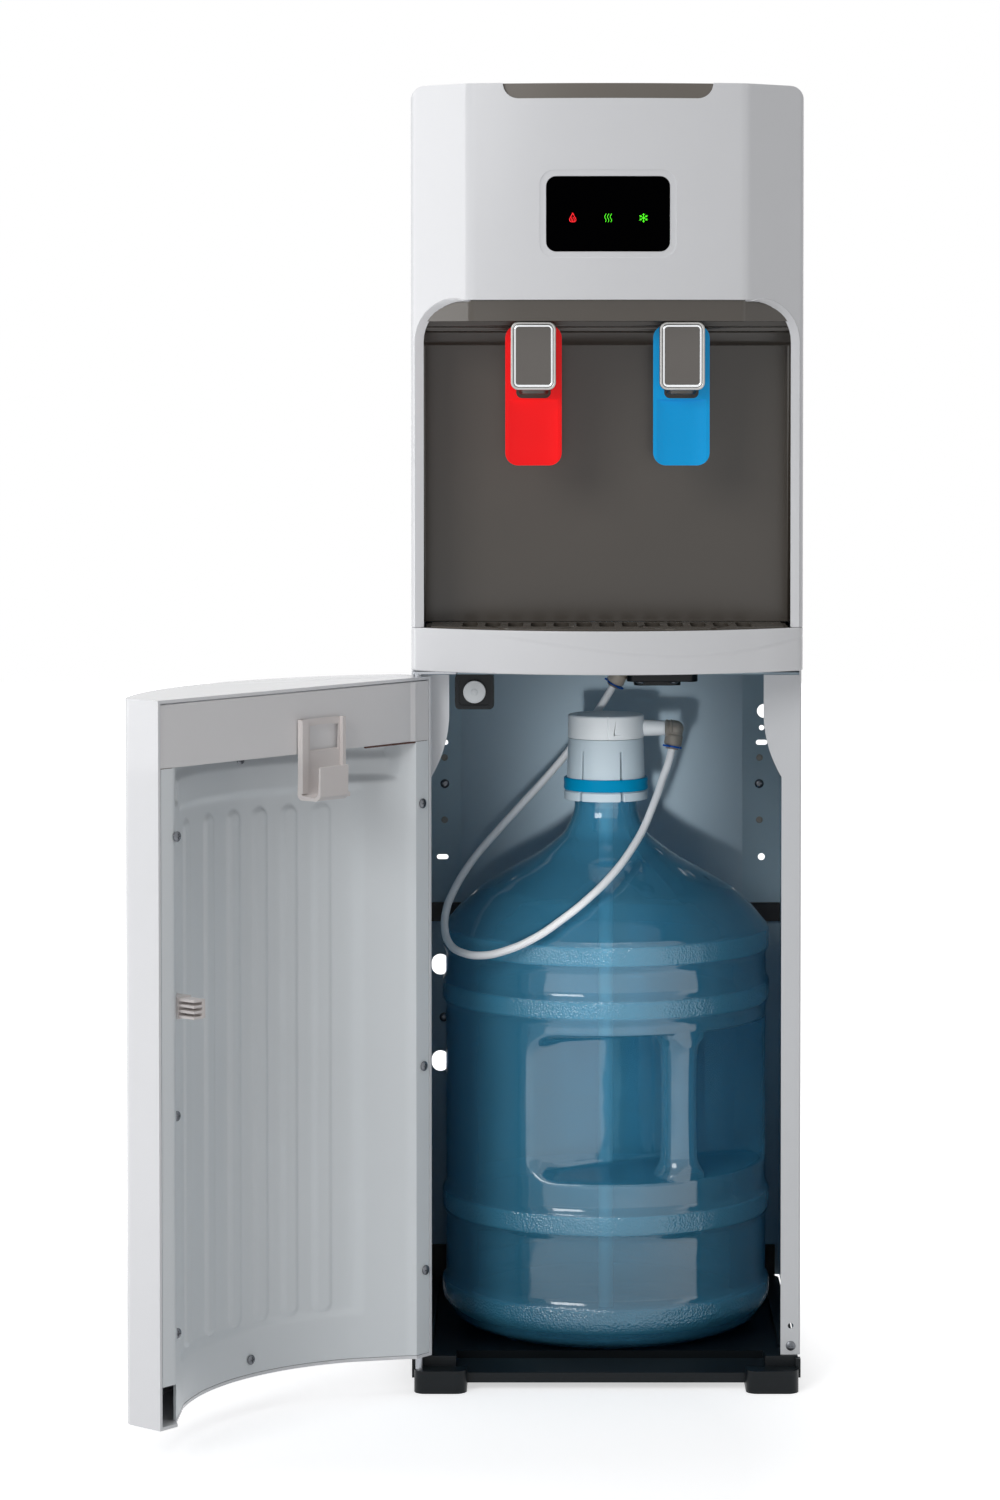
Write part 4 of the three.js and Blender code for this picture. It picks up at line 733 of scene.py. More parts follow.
# %% The lining of the bay
CEILING = 851.0
BAY_BACK = -130.0
LINING = 2.5
BAY_FLOOR = 612.0
TAP_X = 57.7
ROOM_HALF = BAY_HALF + 4.2
room = slab("room", bay_outline(ROOM_HALF, CEILING, 8.0, 540), FRONT - 20, BAY_BACK, "XZ")
soften(room, 4.0, 4, 60.0)
outer_wall = bay_outline(ROOM_HALF + LINING, CEILING + LINING, 8.0 + LINING, 560)
lining = slab("bay_lining", outer_wall, FRONT - 5, BAY_BACK + LINING, "XZ")
cut(lining, room)
keep(lining, slab("edge", bow(HALF, True, WALL + GAP, 400), 540, 900))
valance = slab("valance", bow(HALF, True, WALL + GAP, FLANGE - 20), CEILING, BAY_TOP + 6)
cut(valance, slab("inner", bow(HALF, True, WALL + GAP + LINING, FLANGE + 5), CEILING - 1, BAY_TOP + 7))
fuse(lining, valance)
steps = [(-34, CEILING + 1), (-34, 847.4), (-22, 846.6), (-22, 843.6), (-9, 843.0), (-5, 836.0)]
steps += [(-1.5, 832.6), (1, 831.8), (1, CEILING + 1)]
steps = [(BAY_BACK + ahead, z) for ahead, z in steps]
cornice = slab("cornice", steps, -ROOM_HALF - 0.5, ROOM_HALF + 0.5, "YZ")
soften(cornice, 0.8, 2, 20.0)
keep(cornice, slab("arch", bay_outline(ROOM_HALF + 0.5, CEILING + 0.5, 8.0, 800), FRONT, 0, "XZ"))
fuse(lining, cornice)
cut(lining, block("foot", -200, 200, FRONT - 10, 0, 500, BAY_FLOOR))
for x in (-TAP_X, TAP_X):
    cut(lining, block("slot", x - 12.8, x + 12.8, FLANGE - 60.3, FLANGE - 29.7, CEILING - 8, CEILING + 8))
shade(lining, 40.0)
dress(lining, BAY_PLASTIC, "cabinet", "bay_plastic", "bay_liner")
print("lining:", len(lining.data.polygons), "faces")

# %% The drip tray and its grille
APRON_TOP = 611.0
APRON_BOTTOM = 577.0
tray = slab("drip_dish", bow(HALF, False, WALL + GAP, BAY_BACK - GAP), APRON_BOTTOM + 2.3, APRON_TOP)
keep(tray, block("sides", -143, 143, FRONT, BAY_BACK, 500, 700))
hollow = slab("hollow", bow(HALF, False, WALL + 6, BAY_BACK - 4), APRON_BOTTOM + 4.5, APRON_TOP + 1)
keep(hollow, block("sides", -139, 139, FRONT, BAY_BACK, 500, 700))
cut(tray, hollow)
soften(tray, 0.8, 3)
dress(tray, BAY_PLASTIC, "tray", "bay_plastic", "drip_tray")
grille = slab("drip_grid", bow(HALF, False, WALL + 6.5, BAY_BACK - 4.5), BAY_FLOOR - 4, BAY_FLOOR)
keep(grille, block("sides", -138.5, 138.5, FRONT, BAY_BACK, 500, 700))
openings = [rounded(i * 18 - 6, i * 18 + 6, FLANGE - 45, BAY_BACK - 14, 5.5, 5) for i in range(-6, 7)]
cut(grille, *[slab("slot", points, BAY_FLOOR - 6, BAY_FLOOR + 2) for points in openings])
groove = [(30, BAY_FLOOR - 0.9), (33, BAY_FLOOR - 0.9), (34, BAY_FLOOR + 1), (29, BAY_FLOOR + 1)]
for x in (-TAP_X, TAP_X):
    cut(grille, spun("ring", groove, x, FLANGE - 44))
for x in (-120, 120):
    fuse(grille, block("leg", x - 3, x + 3, FLANGE - 30, FLANGE, APRON_BOTTOM + 4.8, BAY_FLOOR - 2))
soften(grille, 0.5, 2)
dress(grille, BAY_PLASTIC, "grille", "bay_plastic", "drip_grille")

# %% [markdown]
# ## The apron
#
# Below the bay runs a white band with one long curved crease pressed into it. Painting a line would
# be quick, but the real crease catches the light, so the band is sliced into thin rows and the rows
# under the curve are set back by a fraction of a millimetre.

# %% The curve of the crease
def ease(t):
    t = min(max(t, 0.0), 1.0)
    return t * t * (3.0 - 2.0 * t)


CREST_LOW = 591.2
CREST_X = 60.0


def crest(x):
    if x > CREST_X:
        return CREST_LOW + 0.00143 * (x - CREST_X) ** 2
    return APRON_TOP - (APRON_TOP - CREST_LOW) * ease((x + 150.0) / (CREST_X + 150.0))


# %% The apron
apron = slab("apron_band", bow(HALF, False, 0.0, FLANGE), APRON_BOTTOM, APRON_TOP)
for level in range(1, 34):
    start_edit(apron)
    bpy.ops.mesh.bisect(plane_co=(0.0, 0.0, (APRON_BOTTOM + level) * MM), plane_no=(0.0, 0.0, 1.0))
    end_edit()
for vertex in apron.data.vertices:
    x, y, z = vertex.co / MM
    if y > FLANGE - 12 or not APRON_BOTTOM < z < APRON_TOP:
        continue
    under = crest(x) - z
    depth = 0.9 * ease((x + 130.0) / 80.0) * ease((under + 0.8) / 1.8) * math.exp(-max(under, 0.0) / 9.0)
    vertex.co.y += depth * MM
cut(apron, slab("room", bow(HALF, False, WALL, FLANGE + 5), APRON_BOTTOM + 2, APRON_TOP + 5))
soften(apron, 1.0, 3, 50.0, smooth=40.0)
dress(apron, WHITE_GLOSS, "cabinet", "white_gloss", "apron")
print("apron:", len(apron.data.polygons), "faces")

# %% [markdown]
# ## The taps
#
# Each tap is a spout behind a chrome-framed cap, with a lever that a cup pushes. The paddle is
# scooped. We could dent it with a brush, but a cutter with the scoop's own section leaves the
# crisp step that the real paddle has at its top.

# %% One tap's pieces, drawn about its own middle
PADDLE = 20.0
PIVOT_Y = FLANGE - 50
PIVOT_Z = 843
SPOUT_Y = FLANGE - 47
CAP_FLOOR = FLANGE - 73.4


def scoop_outline():
    points = [(-PADDLE - 3, FLANGE - 70), (PADDLE + 3, FLANGE - 70), (PADDLE + 3, FLANGE - 54.6)]
    for i in range(24, -25, -1):
        x = PADDLE * i / 24
        points.append((x, FLANGE - 54.0 + 3.6 * (1.0 - abs(i / 24) ** 3) - 0.2))
    return points + [(-PADDLE - 3, FLANGE - 54.6)]


def tap_lever(name):
    lever = slab(name, rounded(-22, 22, 738.5, 848, 10), FLANGE - 54, FLANGE - 46, "XZ")
    cut(
        lever,
        slab("notch", rounded(-13.5, 13.5, 791, 880, 4.5), FLANGE - 60, FLANGE - 40, "XZ"),
        slab("scoop", scoop_outline(), 700, 790),
        rod("bore", (-30, PIVOT_Y, PIVOT_Z), (30, PIVOT_Y, PIVOT_Z), 2.3),
    )
    return soften(lever, 0.9, 3, 32.0)


def tap_body(name):
    body = block(name, -12.5, 12.5, FLANGE - 60, FLANGE - 30, 799.5, 873)
    fuse(
        body,
        rod("spout", (0, SPOUT_Y, 794), (0, SPOUT_Y, 801), 11.4, 12.4, steps=48, rim=0.8),
        rod("pin", (-18, PIVOT_Y, PIVOT_Z), (18, PIVOT_Y, PIVOT_Z), 2.0),
    )
    cut(body, rod("bore", (0, SPOUT_Y, 788), (0, SPOUT_Y, 861), 4.0))
    return soften(body, 0.6, 2)


def tap_cap(name):
    cap = slab(name, rounded(-17.5, 17.5, 797.5, 850.7, 6.0), FLANGE - 76, FLANGE - 60.3, "XZ")
    cut(cap, slab("dish", rounded(-15.4, 15.4, 799.6, 848.6, 4.2), FLANGE - 80, FLANGE - 73.5, "XZ"))
    return soften(cap, 0.9, 3)


def tap_frame(name):
    trim = slab(name, rounded(-15.2, 15.2, 799.8, 848.4, 4.0), FLANGE - 75.6, CAP_FLOOR, "XZ")
    hole = slab("hole", rounded(-13.5, 13.5, 801.7, 846.5, 2.2), FLANGE - 80, FLANGE - 70, "XZ")
    return soften(cut(trim, hole), 0.75, 4)


def tap_insert(name):
    plate = slab(name, rounded(-13.3, 13.3, 801.9, 846.3, 2.0), FLANGE - 74.9, CAP_FLOOR, "XZ")
    return soften(plate, 0.5, 2)


# %% Both taps
for tap, x, colour, paint in (
    ("hot", -TAP_X, LEVER_RED_PAINTED_GLOW, "red_plastic"),
    ("cold", TAP_X, LEVER_BLUE_PAINTED_GLOW, "blue_plastic"),
):
    made = [
        (tap_lever(tap + "_paddle"), colour, tap + "_lever", paint, [tap + "_tap_lever"]),
        (tap_body(tap + "_spout"), BAY_PLASTIC, "cabinet", "bay_plastic", [tap + "_tap_body"]),
        (tap_cap(tap + "_cap_rim"), SATIN_GREY, "cabinet", "chrome_trim", [tap + "_tap_cap"]),
        (tap_frame(tap + "_cap_frame"), CHROME, "cabinet", "chrome_trim", []),
        (tap_insert(tap + "_cap_insert"), INSERT_GREY, "cabinet", "chrome_trim", []),
    ]
    for piece, material, body, slot, nodes in made:
        piece.data.transform(Matrix.Translation((x * MM, 0.0, 0.0)))
        dress(piece, material, body, slot, *nodes)
print("two taps of five pieces")

# %% [markdown]
# ## Rounding an outline
#
# Blown and pressed shapes have no sharp corners. A bevel afterwards could round them, but on a
# bottle every ring has its own radius, so we round the profile itself before it is spun.

# %% Corners turned into arcs
def curve_point(start, corner, end, t):
    """A point of the curve that leaves start towards the corner and then turns to end."""
    return start * (1 - t) ** 2 + corner * 2 * t * (1 - t) + end * t ** 2


def filleted(points, radius, steps=4):
    """A polyline with each inner corner replaced by a curve that touches both sides."""
    made = [Vector(points[0])]
    for before, corner, after in zip(points, points[1:], points[2:]):
        before, corner, after = Vector(before), Vector(corner), Vector(after)
        back, ahead = before - corner, after - corner
        reach = min(radius, 0.48 * back.length, 0.48 * ahead.length)
        start, end = corner + back.normalized() * reach, corner + ahead.normalized() * reach
        made += [curve_point(start, corner, end, i / steps) for i in range(steps + 1)]
    made.append(Vector(points[-1]))
    return [tuple(point) for point in made]


# %% [markdown]
# ## Screws
#
# Cross-head screws hold the sheets and the door's lining. A flat disc would show as a dot, so one
# screw is modelled with its domed head and its cross, and the rest are copies turned to their faces.

# %% One screw, copied to its places
def screw_head(radius=3.9, dome=1.6):
    profile = filleted([(0, dome), (radius * 0.55, dome * 0.94), (radius, dome * 0.35), (radius, 0)], 1.0)
    head = spun("screw_head", profile + [(0, 0)], steps=24)
    for turn in (0, 90):
        arm = block("arm", -radius * 0.55, radius * 0.55, -0.45, 0.45, dome * 0.35, dome + 1)
        arm.data.transform(Matrix.Rotation(math.radians(turn), 4, "Z"))
        cut(head, arm)
    return shade(head, 40.0)


SCREW = screw_head()


def screws(name, places, facing):
    """Copies of the screw at some places, all facing one way."""
    copies = []
    for place in places:
        copy = SCREW.copy()
        copy.data = SCREW.data.copy()
        bpy.context.scene.collection.objects.link(copy)
        copies.append(aim(copy, place, facing))
    return gather(name, copies)


# %% [markdown]
# ## The black base
#
# Two broad feet carry a shallow well for the bottle, with an arch between them. Blocks that touch
# would show their joints, and the moulding is one piece, so the feet, the well and the lip are fused
# and only then softened.

# %% The base
BASE_TOP = 26.0
WELL = 20.0
FOOT = 42.0
half = HALF - 1
front, rear = FLANGE - 22, BACK - 2
inner = half - FOOT
base = slab("base_moulding", rounded(-half, -inner, front, rear, 9, 6), 0, BASE_TOP)
fuse(
    base,
    slab("foot", rounded(inner, half, front, rear, 9, 6), 0, BASE_TOP),
    block("floor", -inner - 1, inner + 1, FLANGE - 4, rear, 5, WELL),
    block("rib", -inner - 1, inner + 1, -8, 8, 0, 6),
    block("rear_rib", -inner - 1, inner + 1, rear - 12, rear, 0, 6),
    block("rear_wall", -half + 3, half - 3, rear - 3, rear, WELL - 1, 53),
)
cut(
    base,
    slab("well", rounded(-half + 13, half - 13, FLANGE + 8, rear - 3, 24), WELL, BASE_TOP + 1),
    block("lip", -inner - 9, inner + 16, FLANGE - 5.01, FLANGE + 40, 13, WELL + 7),
    block("ledge", -half - 5, half + 5, front - 2, FLANGE - 3, 18, BASE_TOP + 3),
    rod("pin_hole", (-HALF + 5, FLANGE - 13, BASE_TOP - 12), (-HALF + 5, FLANGE - 13, BASE_TOP + 4), 3.3),
)
slope = [(FLANGE - 5, 5), (FLANGE + 14, 5), (FLANGE + 14, WELL), (FLANGE - 5, 13)]
fuse(base, slab("slope", slope, -inner - 9, inner + 16, "YZ"))
for x0, x1 in ((-half - 1.9, -half + 2), (half - 2, half + 1.9)):
    fuse(base, block("tab", x0, x1, FLANGE - 9, FLANGE - 1, 10, 25))
soften(base, 1.4, 3, 40.0)
dress(base, BLACK_PLASTIC, "cabinet", "black_plastic", "base_tray")

# %% [markdown]
# ## The steel sides
#
# Each side is a bent sheet: a tall wall with a flange turned in at the front and at the back. The
# rear flange is full of holes that let the white room through, and the front flange widens into a
# curved cheek at the top. Folding a plane would leave paper edges, so the sheet has its thickness.

# %% The sheets
SHEET = 1.0
FLANGE_IN = 139.3
CHEEK_IN = 125.0
CHEEK_LEVELS = (489, 512, 537)
REAR_IN = 121.5
STEEL_LOW = steel_low.z
STEEL_HIGH = steel_high.z


def bent_sheet(name, side):
    out, bend = PANEL, 1.8
    plan = [(FLANGE_IN, FLANGE), (out - bend, FLANGE)]
    plan += [(out - bend + bend * math.sin(t), FLANGE + bend - bend * math.cos(t)) for t in (0.4, 0.8, 1.2)]
    plan += [(out, FLANGE + bend), (out, BACK - bend)]
    plan += [(out - bend + bend * math.cos(t), BACK - bend + bend * math.sin(t)) for t in (0.4, 0.8, 1.2)]
    plan += [(out - bend, BACK), (REAR_IN, BACK), (REAR_IN, BACK - SHEET), (out - SHEET - 0.6, BACK - SHEET)]
    plan += [(out - SHEET, BACK - SHEET - 0.6), (out - SHEET, FLANGE + SHEET + 0.6)]
    plan += [(out - SHEET - 0.6, FLANGE + SHEET), (FLANGE_IN, FLANGE + SHEET)]
    sheet = slab(name, [(side * x, y) for x, y in plan], STEEL_LOW, STEEL_HIGH)
    cheek = [(out - 3, SHELF - 81)]
    for t in [i / 12 for i in range(13)]:
        x = curve_point(FLANGE_IN, CHEEK_IN + 1, CHEEK_IN, t)
        cheek.append((x, curve_point(*CHEEK_LEVELS, t)))
    cheek += [(CHEEK_IN, SHELF - GAP), (out - 3, SHELF - GAP)]
    fuse(sheet, slab("cheek", [(side * x, z) for x, z in cheek], FLANGE + 0.01, FLANGE + SHEET - 0.01, "XZ"))
    x0, x1 = sorted((side * 120, side * (out - bend)))
    return cut(sheet, block("above", x0, x1, FLANGE - 1, FLANGE + SHEET + 0.8, SHELF - GAP, STEEL_HIGH + 1))


# %% Painted shade: the steel bluer and darker inside, light outside
def steel_with_painted_inner_shade():
    """Painted steel that is bluer and darker where the sheet faces the inside, as painted shade for the
    dimmer inside.
    """
    material = finish("side_steel", swatch(232, 234, 237), 0.34, tint=0.02, grain=900.0, relief=0.06)
    tree = material.node_tree
    base_colour = tree.nodes["Principled BSDF"].inputs["Base Color"]
    light = base_colour.links[0].from_socket
    apart = put(tree, "SeparateXYZ", {"Vector": tree.nodes["Texture Coordinate"].outputs["Object"]})
    inside = reckon(tree, "LESS_THAN", reckon(tree, "ABSOLUTE", apart.outputs["X"]), (PANEL - 0.5) * MM)
    behind = reckon(tree, "GREATER_THAN", apart.outputs["Y"], (FLANGE + 0.6) * MM)
    # The inside colour is painted shade: the inner faces get less light, and this darker blue-grey stands in
    # for it.
    colours = {"Factor": reckon(tree, "MULTIPLY", inside, behind), 6: light, 7: swatch(176, 200, 212)}
    tree.links.new(put(tree, "Mix", colours, data_type="RGBA").outputs[2], base_colour)
    return material


SIDE_STEEL_SHADED_INSIDE = steel_with_painted_inner_shade()


def slot_hole(x, z, length, height):
    r = min(length, height) / 2 - 0.01
    outline = rounded(x - length / 2, x + length / 2, z - height / 2, z + height / 2, r)
    return slab("hole", outline, BACK - 5, BACK + 5, "XZ")


# %% The holes of the rear flanges: x, z, length and height
HOLES = {
    -1: [(-138, 489.8, 9.8, 4.4), (-138, 390.5, 10, 4.3), (-140, 297, 15, 18), (-140, 213, 15, 18)],
    1: [(138, 489.8, 9.8, 4.4), (138, 390.5, 6, 6), (140, 517, 12, 12), (138, 502.5, 4.6, 4.6)],
}

# %% Both sides, with their holes, dimples and screws
FLANGE_SCREW_X = 147.4
for side, name, node in ((-1, "left_steel", "left_side_panel"), (1, "right_steel", "right_side_panel")):
    sheet = bent_sheet(name, side)
    cut(sheet, *[slot_hole(*hole) for hole in HOLES[side]])
    if side > 0:
        ends = [(FLANGE_SCREW_X, FLANGE + off, 49.5) for off in (-1, 2)]
        cut(sheet, rod("screw_hole", *ends, 2.3, steps=20))
    soften(sheet, 0.3, 2, 60.0)
    dress(sheet, SIDE_STEEL_SHADED_INSIDE, "cabinet", "painted_steel", node)
    rear_face = BACK - SHEET
    dimples = [rod("dimple", (side * 136.2, rear_face + 0.3, z), (side * 136.2, rear_face - 0.7, z), 2.9, 2.3)
               for z in (476.6, 422.6)]
    plugs = gather(name + "_plugs", dimples)
    dress(shade(plugs), FITTING_BEIGE, "cabinet", "painted_steel")
    tips = [(side * 136.0, rear_face, 454.0)]
    if side < 0:
        tips += [(-137.0, rear_face, 342.0), (-137.0, rear_face, 251.0)]
    dress(screws(name + "_screws", tips, (0, -1, 0)), SCREW_STEEL, "cabinet", "hinge_steel")
flange_screw = screws("flange_screw", [(FLANGE_SCREW_X, FLANGE, 33.5)], (0, -1, 0))
dress(flange_screw, SCREW_STEEL, "cabinet", "hinge_steel")
print("two bent sheets")

# %% [markdown]
# ## The bottle
#
# The big bottle is blown from clear blue plastic. It has textured bands, smooth waists, a handle in
# a deep pocket and a mould seam. Cutting the pocket out with a block would leave a knife edge, so we
# spin the profile with close rows and push the points of the pocket in, with a soft blend.

# %% The profile, outside and inside
BOTTLE_X = 1.5
BOTTLE_Y = 0.0
BOTTLE_WALL = 1.6
NECK = 26.0
BOTTLE_TOP = 503.0
BAND_R = 136.0
BODY_R = 133.0
POCKET_LOW = 163.0
POCKET_HIGH = 275.0

bands = [(0, 30), (60, 27), (92, 20.3), (108, 20.3), (125, 28), (BAND_R, 45), (BAND_R, 58.5), (BODY_R, 63)]
for low, high in ((118, 134), (292, 307)):
    bands += [(BODY_R, low - 4.5), (BAND_R, low), (BAND_R, high), (BODY_R, high + 4.5)]
bands += [(BODY_R, 330.5), (BAND_R, 335), (BAND_R, 351), (129.5, 358), (121, 368), (104.6, 383.5)]
bands += [(81, 397), (55, 411.5), (34, 428), (NECK, 446), (NECK, BOTTLE_TOP)]
smooth_profile = filleted(bands, 5.0, 3)


def radius_rows():
    """Height and radius of every ring, with close rows at the ends of the pocket."""
    rows = []
    for (r0, z0), (r1, z1) in zip(smooth_profile, smooth_profile[1:]):
        rows.append((r0, z0))
        tall = abs(z1 - z0)
        if tall > 60:
            rows += [(r0, z) for z in pocket_rows if z0 + 1 < z < z1 - 1]
        elif tall > 9:
            rows += [(r0 + (r1 - r0) * i / 3, z0 + (z1 - z0) * i / 3) for i in (1, 2)]
    rows.append(smooth_profile[-1])
    return rows


from_edge = [-9, -7, -5, -3.5, -2, -0.5, 1, 2.5, 4, 6, 8, 11, 16, 24, 36]
pocket_rows = [POCKET_LOW + step for step in from_edge]
pocket_rows += [POCKET_HIGH - step for step in [46] + from_edge[::-1]]
outside = radius_rows()
inside = []
for i, (r, z) in enumerate(outside):
    before, after = Vector(outside[max(i - 1, 0)]), Vector(outside[min(i + 1, len(outside) - 1)])
    along = (after - before).normalized()
    inside.append((max(r - along.y * BOTTLE_WALL, 0.0), z + along.x * BOTTLE_WALL))
inside[0] = (0.0, outside[0][1] + BOTTLE_WALL)
inside[-1] = (NECK - BOTTLE_WALL, BOTTLE_TOP)
bottle = spun("big_bottle", outside + inside[::-1], BOTTLE_X, BOTTLE_Y, steps=216)

# %% The pocket pushed in, and the seam raised
POCKET_TURN = math.radians(-60.0)
POCKET_FLOOR = 71.0
POCKET_SOFT = 6.0
POCKET_CORNER = 24.0
POCKET_HALF_ARC = math.acos(POCKET_FLOOR / BODY_R) * BODY_R + 3.0
SEAM_TURN = math.radians(-90.0 + 34.0)
SEAM_HALF = math.radians(1.05)
SEAM_RISE = 0.45


def turned_from(turn, middle):
    """The angle between two directions, from minus half a turn to plus half a turn."""
    return math.atan2(math.sin(turn - middle), math.cos(turn - middle))


def soft_least(a, b, soft):
    """The smaller of two radii, with a rounded change from one to the other."""
    share = max(soft - abs(a - b), 0.0) / soft
    return min(a, b) - share * share * soft * 0.25


def past_pocket(along, z):
    """How far a point of the unrolled wall lies outside the pocket's rounded rectangle."""
    tall = (POCKET_HIGH - POCKET_LOW) / 2
    u = abs(along) - POCKET_HALF_ARC + POCKET_CORNER
    v = abs(z - (POCKET_HIGH + POCKET_LOW) / 2) - tall + POCKET_CORNER
    return math.hypot(max(u, 0.0), max(v, 0.0)) + min(max(u, v), 0.0) - POCKET_CORNER


for vertex in bottle.data.vertices:
    x, y, z = vertex.co.x / MM - BOTTLE_X, vertex.co.y / MM - BOTTLE_Y, vertex.co.z / MM
    r = math.hypot(x, y)
    if r < 30:
        continue
    turn = math.atan2(y, x)
    off = turned_from(turn, POCKET_TURN)
    mask = 1.0 - ease((past_pocket(off * BODY_R, z) + 5.0) / 9.0)
    if mask > 0 and abs(off) < 1.35:
        floor_r = (POCKET_FLOOR - (BOTTLE_WALL if r < BODY_R - 0.8 else 0.0)) / math.cos(off)
        r_new = r + (soft_least(r, floor_r, POCKET_SOFT) - r) * mask
    else:
        r_new = r
    if abs(turned_from(turn, SEAM_TURN)) < SEAM_HALF and z > 62:
        r_new += SEAM_RISE
    vertex.co.x = (BOTTLE_X + x * r_new / r) * MM
    vertex.co.y = (BOTTLE_Y + y * r_new / r) * MM

# %% The grip across the pocket
REACH = 116.0
grip_at = (BOTTLE_X + REACH * math.cos(POCKET_TURN), BOTTLE_Y + REACH * math.sin(POCKET_TURN))
flare = [(0, -4), (21, -4), (21, 0), (15.5, 9), (14.5, 30)]  # radius, and distance into the pocket
grip_profile = [(r, POCKET_LOW + rise) for r, rise in flare]
grip_profile += [(r, POCKET_HIGH - rise) for r, rise in reversed(flare)]
grip = spun("grip", filleted(grip_profile, 12.0, 4), *grip_at, steps=40)
wall_line = [(0, 100), (BODY_R - 0.4, 100), (BODY_R - 0.4, 330), (0, 330)]
keep(grip, spun("round", wall_line, BOTTLE_X, BOTTLE_Y, 120))
fuse(bottle, grip)
shade(bottle, 60.0)
print("bottle:", len(bottle.data.polygons), "faces")

# %% [markdown]
# ### Clear blue plastic
#
# True refraction would need many light paths and would hide what stands behind. The wall is thin, so
# light goes almost straight through and only takes on colour. The finish mixes a milky body with a
# tinted clear one, lets more of the body show where the wall is seen edge-on, and lays a gloss on
# the faces that look outwards.

# %% The finish of the bottle
RAMP_HIGH = 400  # the ramp of the textured bands spans this height
BAND_EDGES = [(36, 40, 57, 60), (117.5, 119, 133, 134.5), (291.5, 293, 306, 307.5), (334.5, 336, 350, 352)]


def textured_bands(tree, place):
    """1 on the bottle's textured bands and 0 between them, by height."""
    height = put(tree, "SeparateXYZ", {"Vector": place}).outputs["Z"]
    where = put(tree, "MapRange", {"Value": height, "From Max": RAMP_HIGH * MM}).outputs["Result"]
    rings = put(tree, "ValToRGB", {"Fac": where})
    stops = rings.color_ramp.elements
    stops[0].position, stops[0].color = 0.0, (0, 0, 0, 1)
    stops[1].position, stops[1].color = BAND_EDGES[0][0] / RAMP_HIGH, (0, 0, 0, 1)
    for edges in BAND_EDGES:
        for z, on in zip(edges, (0, 1, 1, 0)):
            if z > BAND_EDGES[0][0]:
                stops.new(z / RAMP_HIGH).color = (on, on, on, 1)
    return rings.outputs["Color"]


def clear_blue():
    material = finish(
        "clear_blue", swatch(88, 174, 208), 0.32, tint=0.15, cloud=5.0, relief=0.0, Specular_IOR_Level=0.0
    )
    tree = material.node_tree
    place = tree.nodes["Texture Coordinate"].outputs["Object"]
    bands_on = textured_bands(tree, place)
    sparkle = put(tree, "TexVoronoi", {"Vector": place, "Scale": 560.0}).outputs["Distance"]
    ripple = put(tree, "TexNoise", {"Vector": place, "Scale": 26.0}).outputs["Fac"]
    waves = reckon(tree, "MULTIPLY_ADD", ripple, 1.2, reckon(tree, "MULTIPLY", sparkle, bands_on))
    bump = tree.nodes["Bump"]
    bump.inputs["Strength"].default_value = 0.6
    bump.inputs["Distance"].default_value = 0.0012
    tree.links.new(waves, bump.inputs["Height"])
    edge_on = put(tree, "LayerWeight", {"Blend": 0.42}).outputs
    tint = put(tree, "ValToRGB", {"Fac": edge_on["Facing"]})
    tint.color_ramp.elements[0].color = swatch(204, 238, 248)
    tint.color_ramp.elements[1].color = swatch(22, 124, 166)
    clear = put(tree, "BsdfTransparent", {"Color": tint.outputs["Color"]})
    thicker = put(tree, "MapRange", {"Value": edge_on["Facing"], "To Min": 0.27, "To Max": 0.50})
    frosted = reckon(tree, "MULTIPLY_ADD", bands_on, 0.22, thicker.outputs["Result"])
    milk = tree.nodes["Principled BSDF"].outputs["BSDF"]
    body = put(tree, "MixShader", {"Fac": frosted, 1: clear.outputs["BSDF"], 2: milk})
    gloss = {"Color": (1.0, 1.0, 1.0, 1.0), "Roughness": 0.09, "Normal": bump.outputs["Normal"]}
    shine = put(tree, "BsdfAnisotropic", gloss).outputs["BSDF"]
    outer_face = reckon(tree, "SUBTRACT", 1.0, put(tree, "NewGeometry", {}).outputs["Backfacing"])
    mirror = reckon(tree, "MULTIPLY", edge_on["Fresnel"], outer_face)
    coated = put(tree, "MixShader", {"Fac": mirror, 1: body.outputs["Shader"], 2: shine})
    tree.links.new(coated.outputs["Shader"], tree.nodes["Material Output"].inputs["Surface"])
    return material


CLEAR_BLUE = clear_blue()
dress(bottle, CLEAR_BLUE, "cabinet", "bottle_blue", "bottle")

# %% [markdown]
# ## The probe in the bottle's neck
#
# A white lid with a side spigot sits on a milky collar. The collar's slots let its lip spring over
# the neck, and a blue ring holds them shut. All of these are turned shapes, so they are spun, and
# only the slots are cut.

# %% The lid and its spigot
lid_profile = [(0, 507.5), (31.5, 507.5), (31.5, 525.6), (30.2, 526.7), (24, 526.7)]
lid_profile += [(23.4, 526.1), (0, 526.1)]
lid = spun("probe_cap", lid_profile, BOTTLE_X, BOTTLE_Y, 96)
spigot = rod("spigot", (BOTTLE_X + 27, 0, 515), (BOTTLE_X + 49, 0, 515), 7.0, 6.1, steps=48)
fuse(lid, spigot)
for x, wide, deep in ((-12.7, 0.5, 0.5), (1.3, 0.9, 1.2)):
    x0, x1 = BOTTLE_X + x - wide / 2, BOTTLE_X + x + wide / 2
    cut(lid, block("joint", x0, x1, -40, -32 + deep + x * x / 64, 500, 530))
cut(lid, block("mark", BOTTLE_X + 6.3, BOTTLE_X + 17.8, -40, -28.6, 511.4, 512.9))
soften(lid, 0.35, 2, 40.0)
dress(lid, LID_WHITE, "cabinet", "white_plastic", "probe_lid")

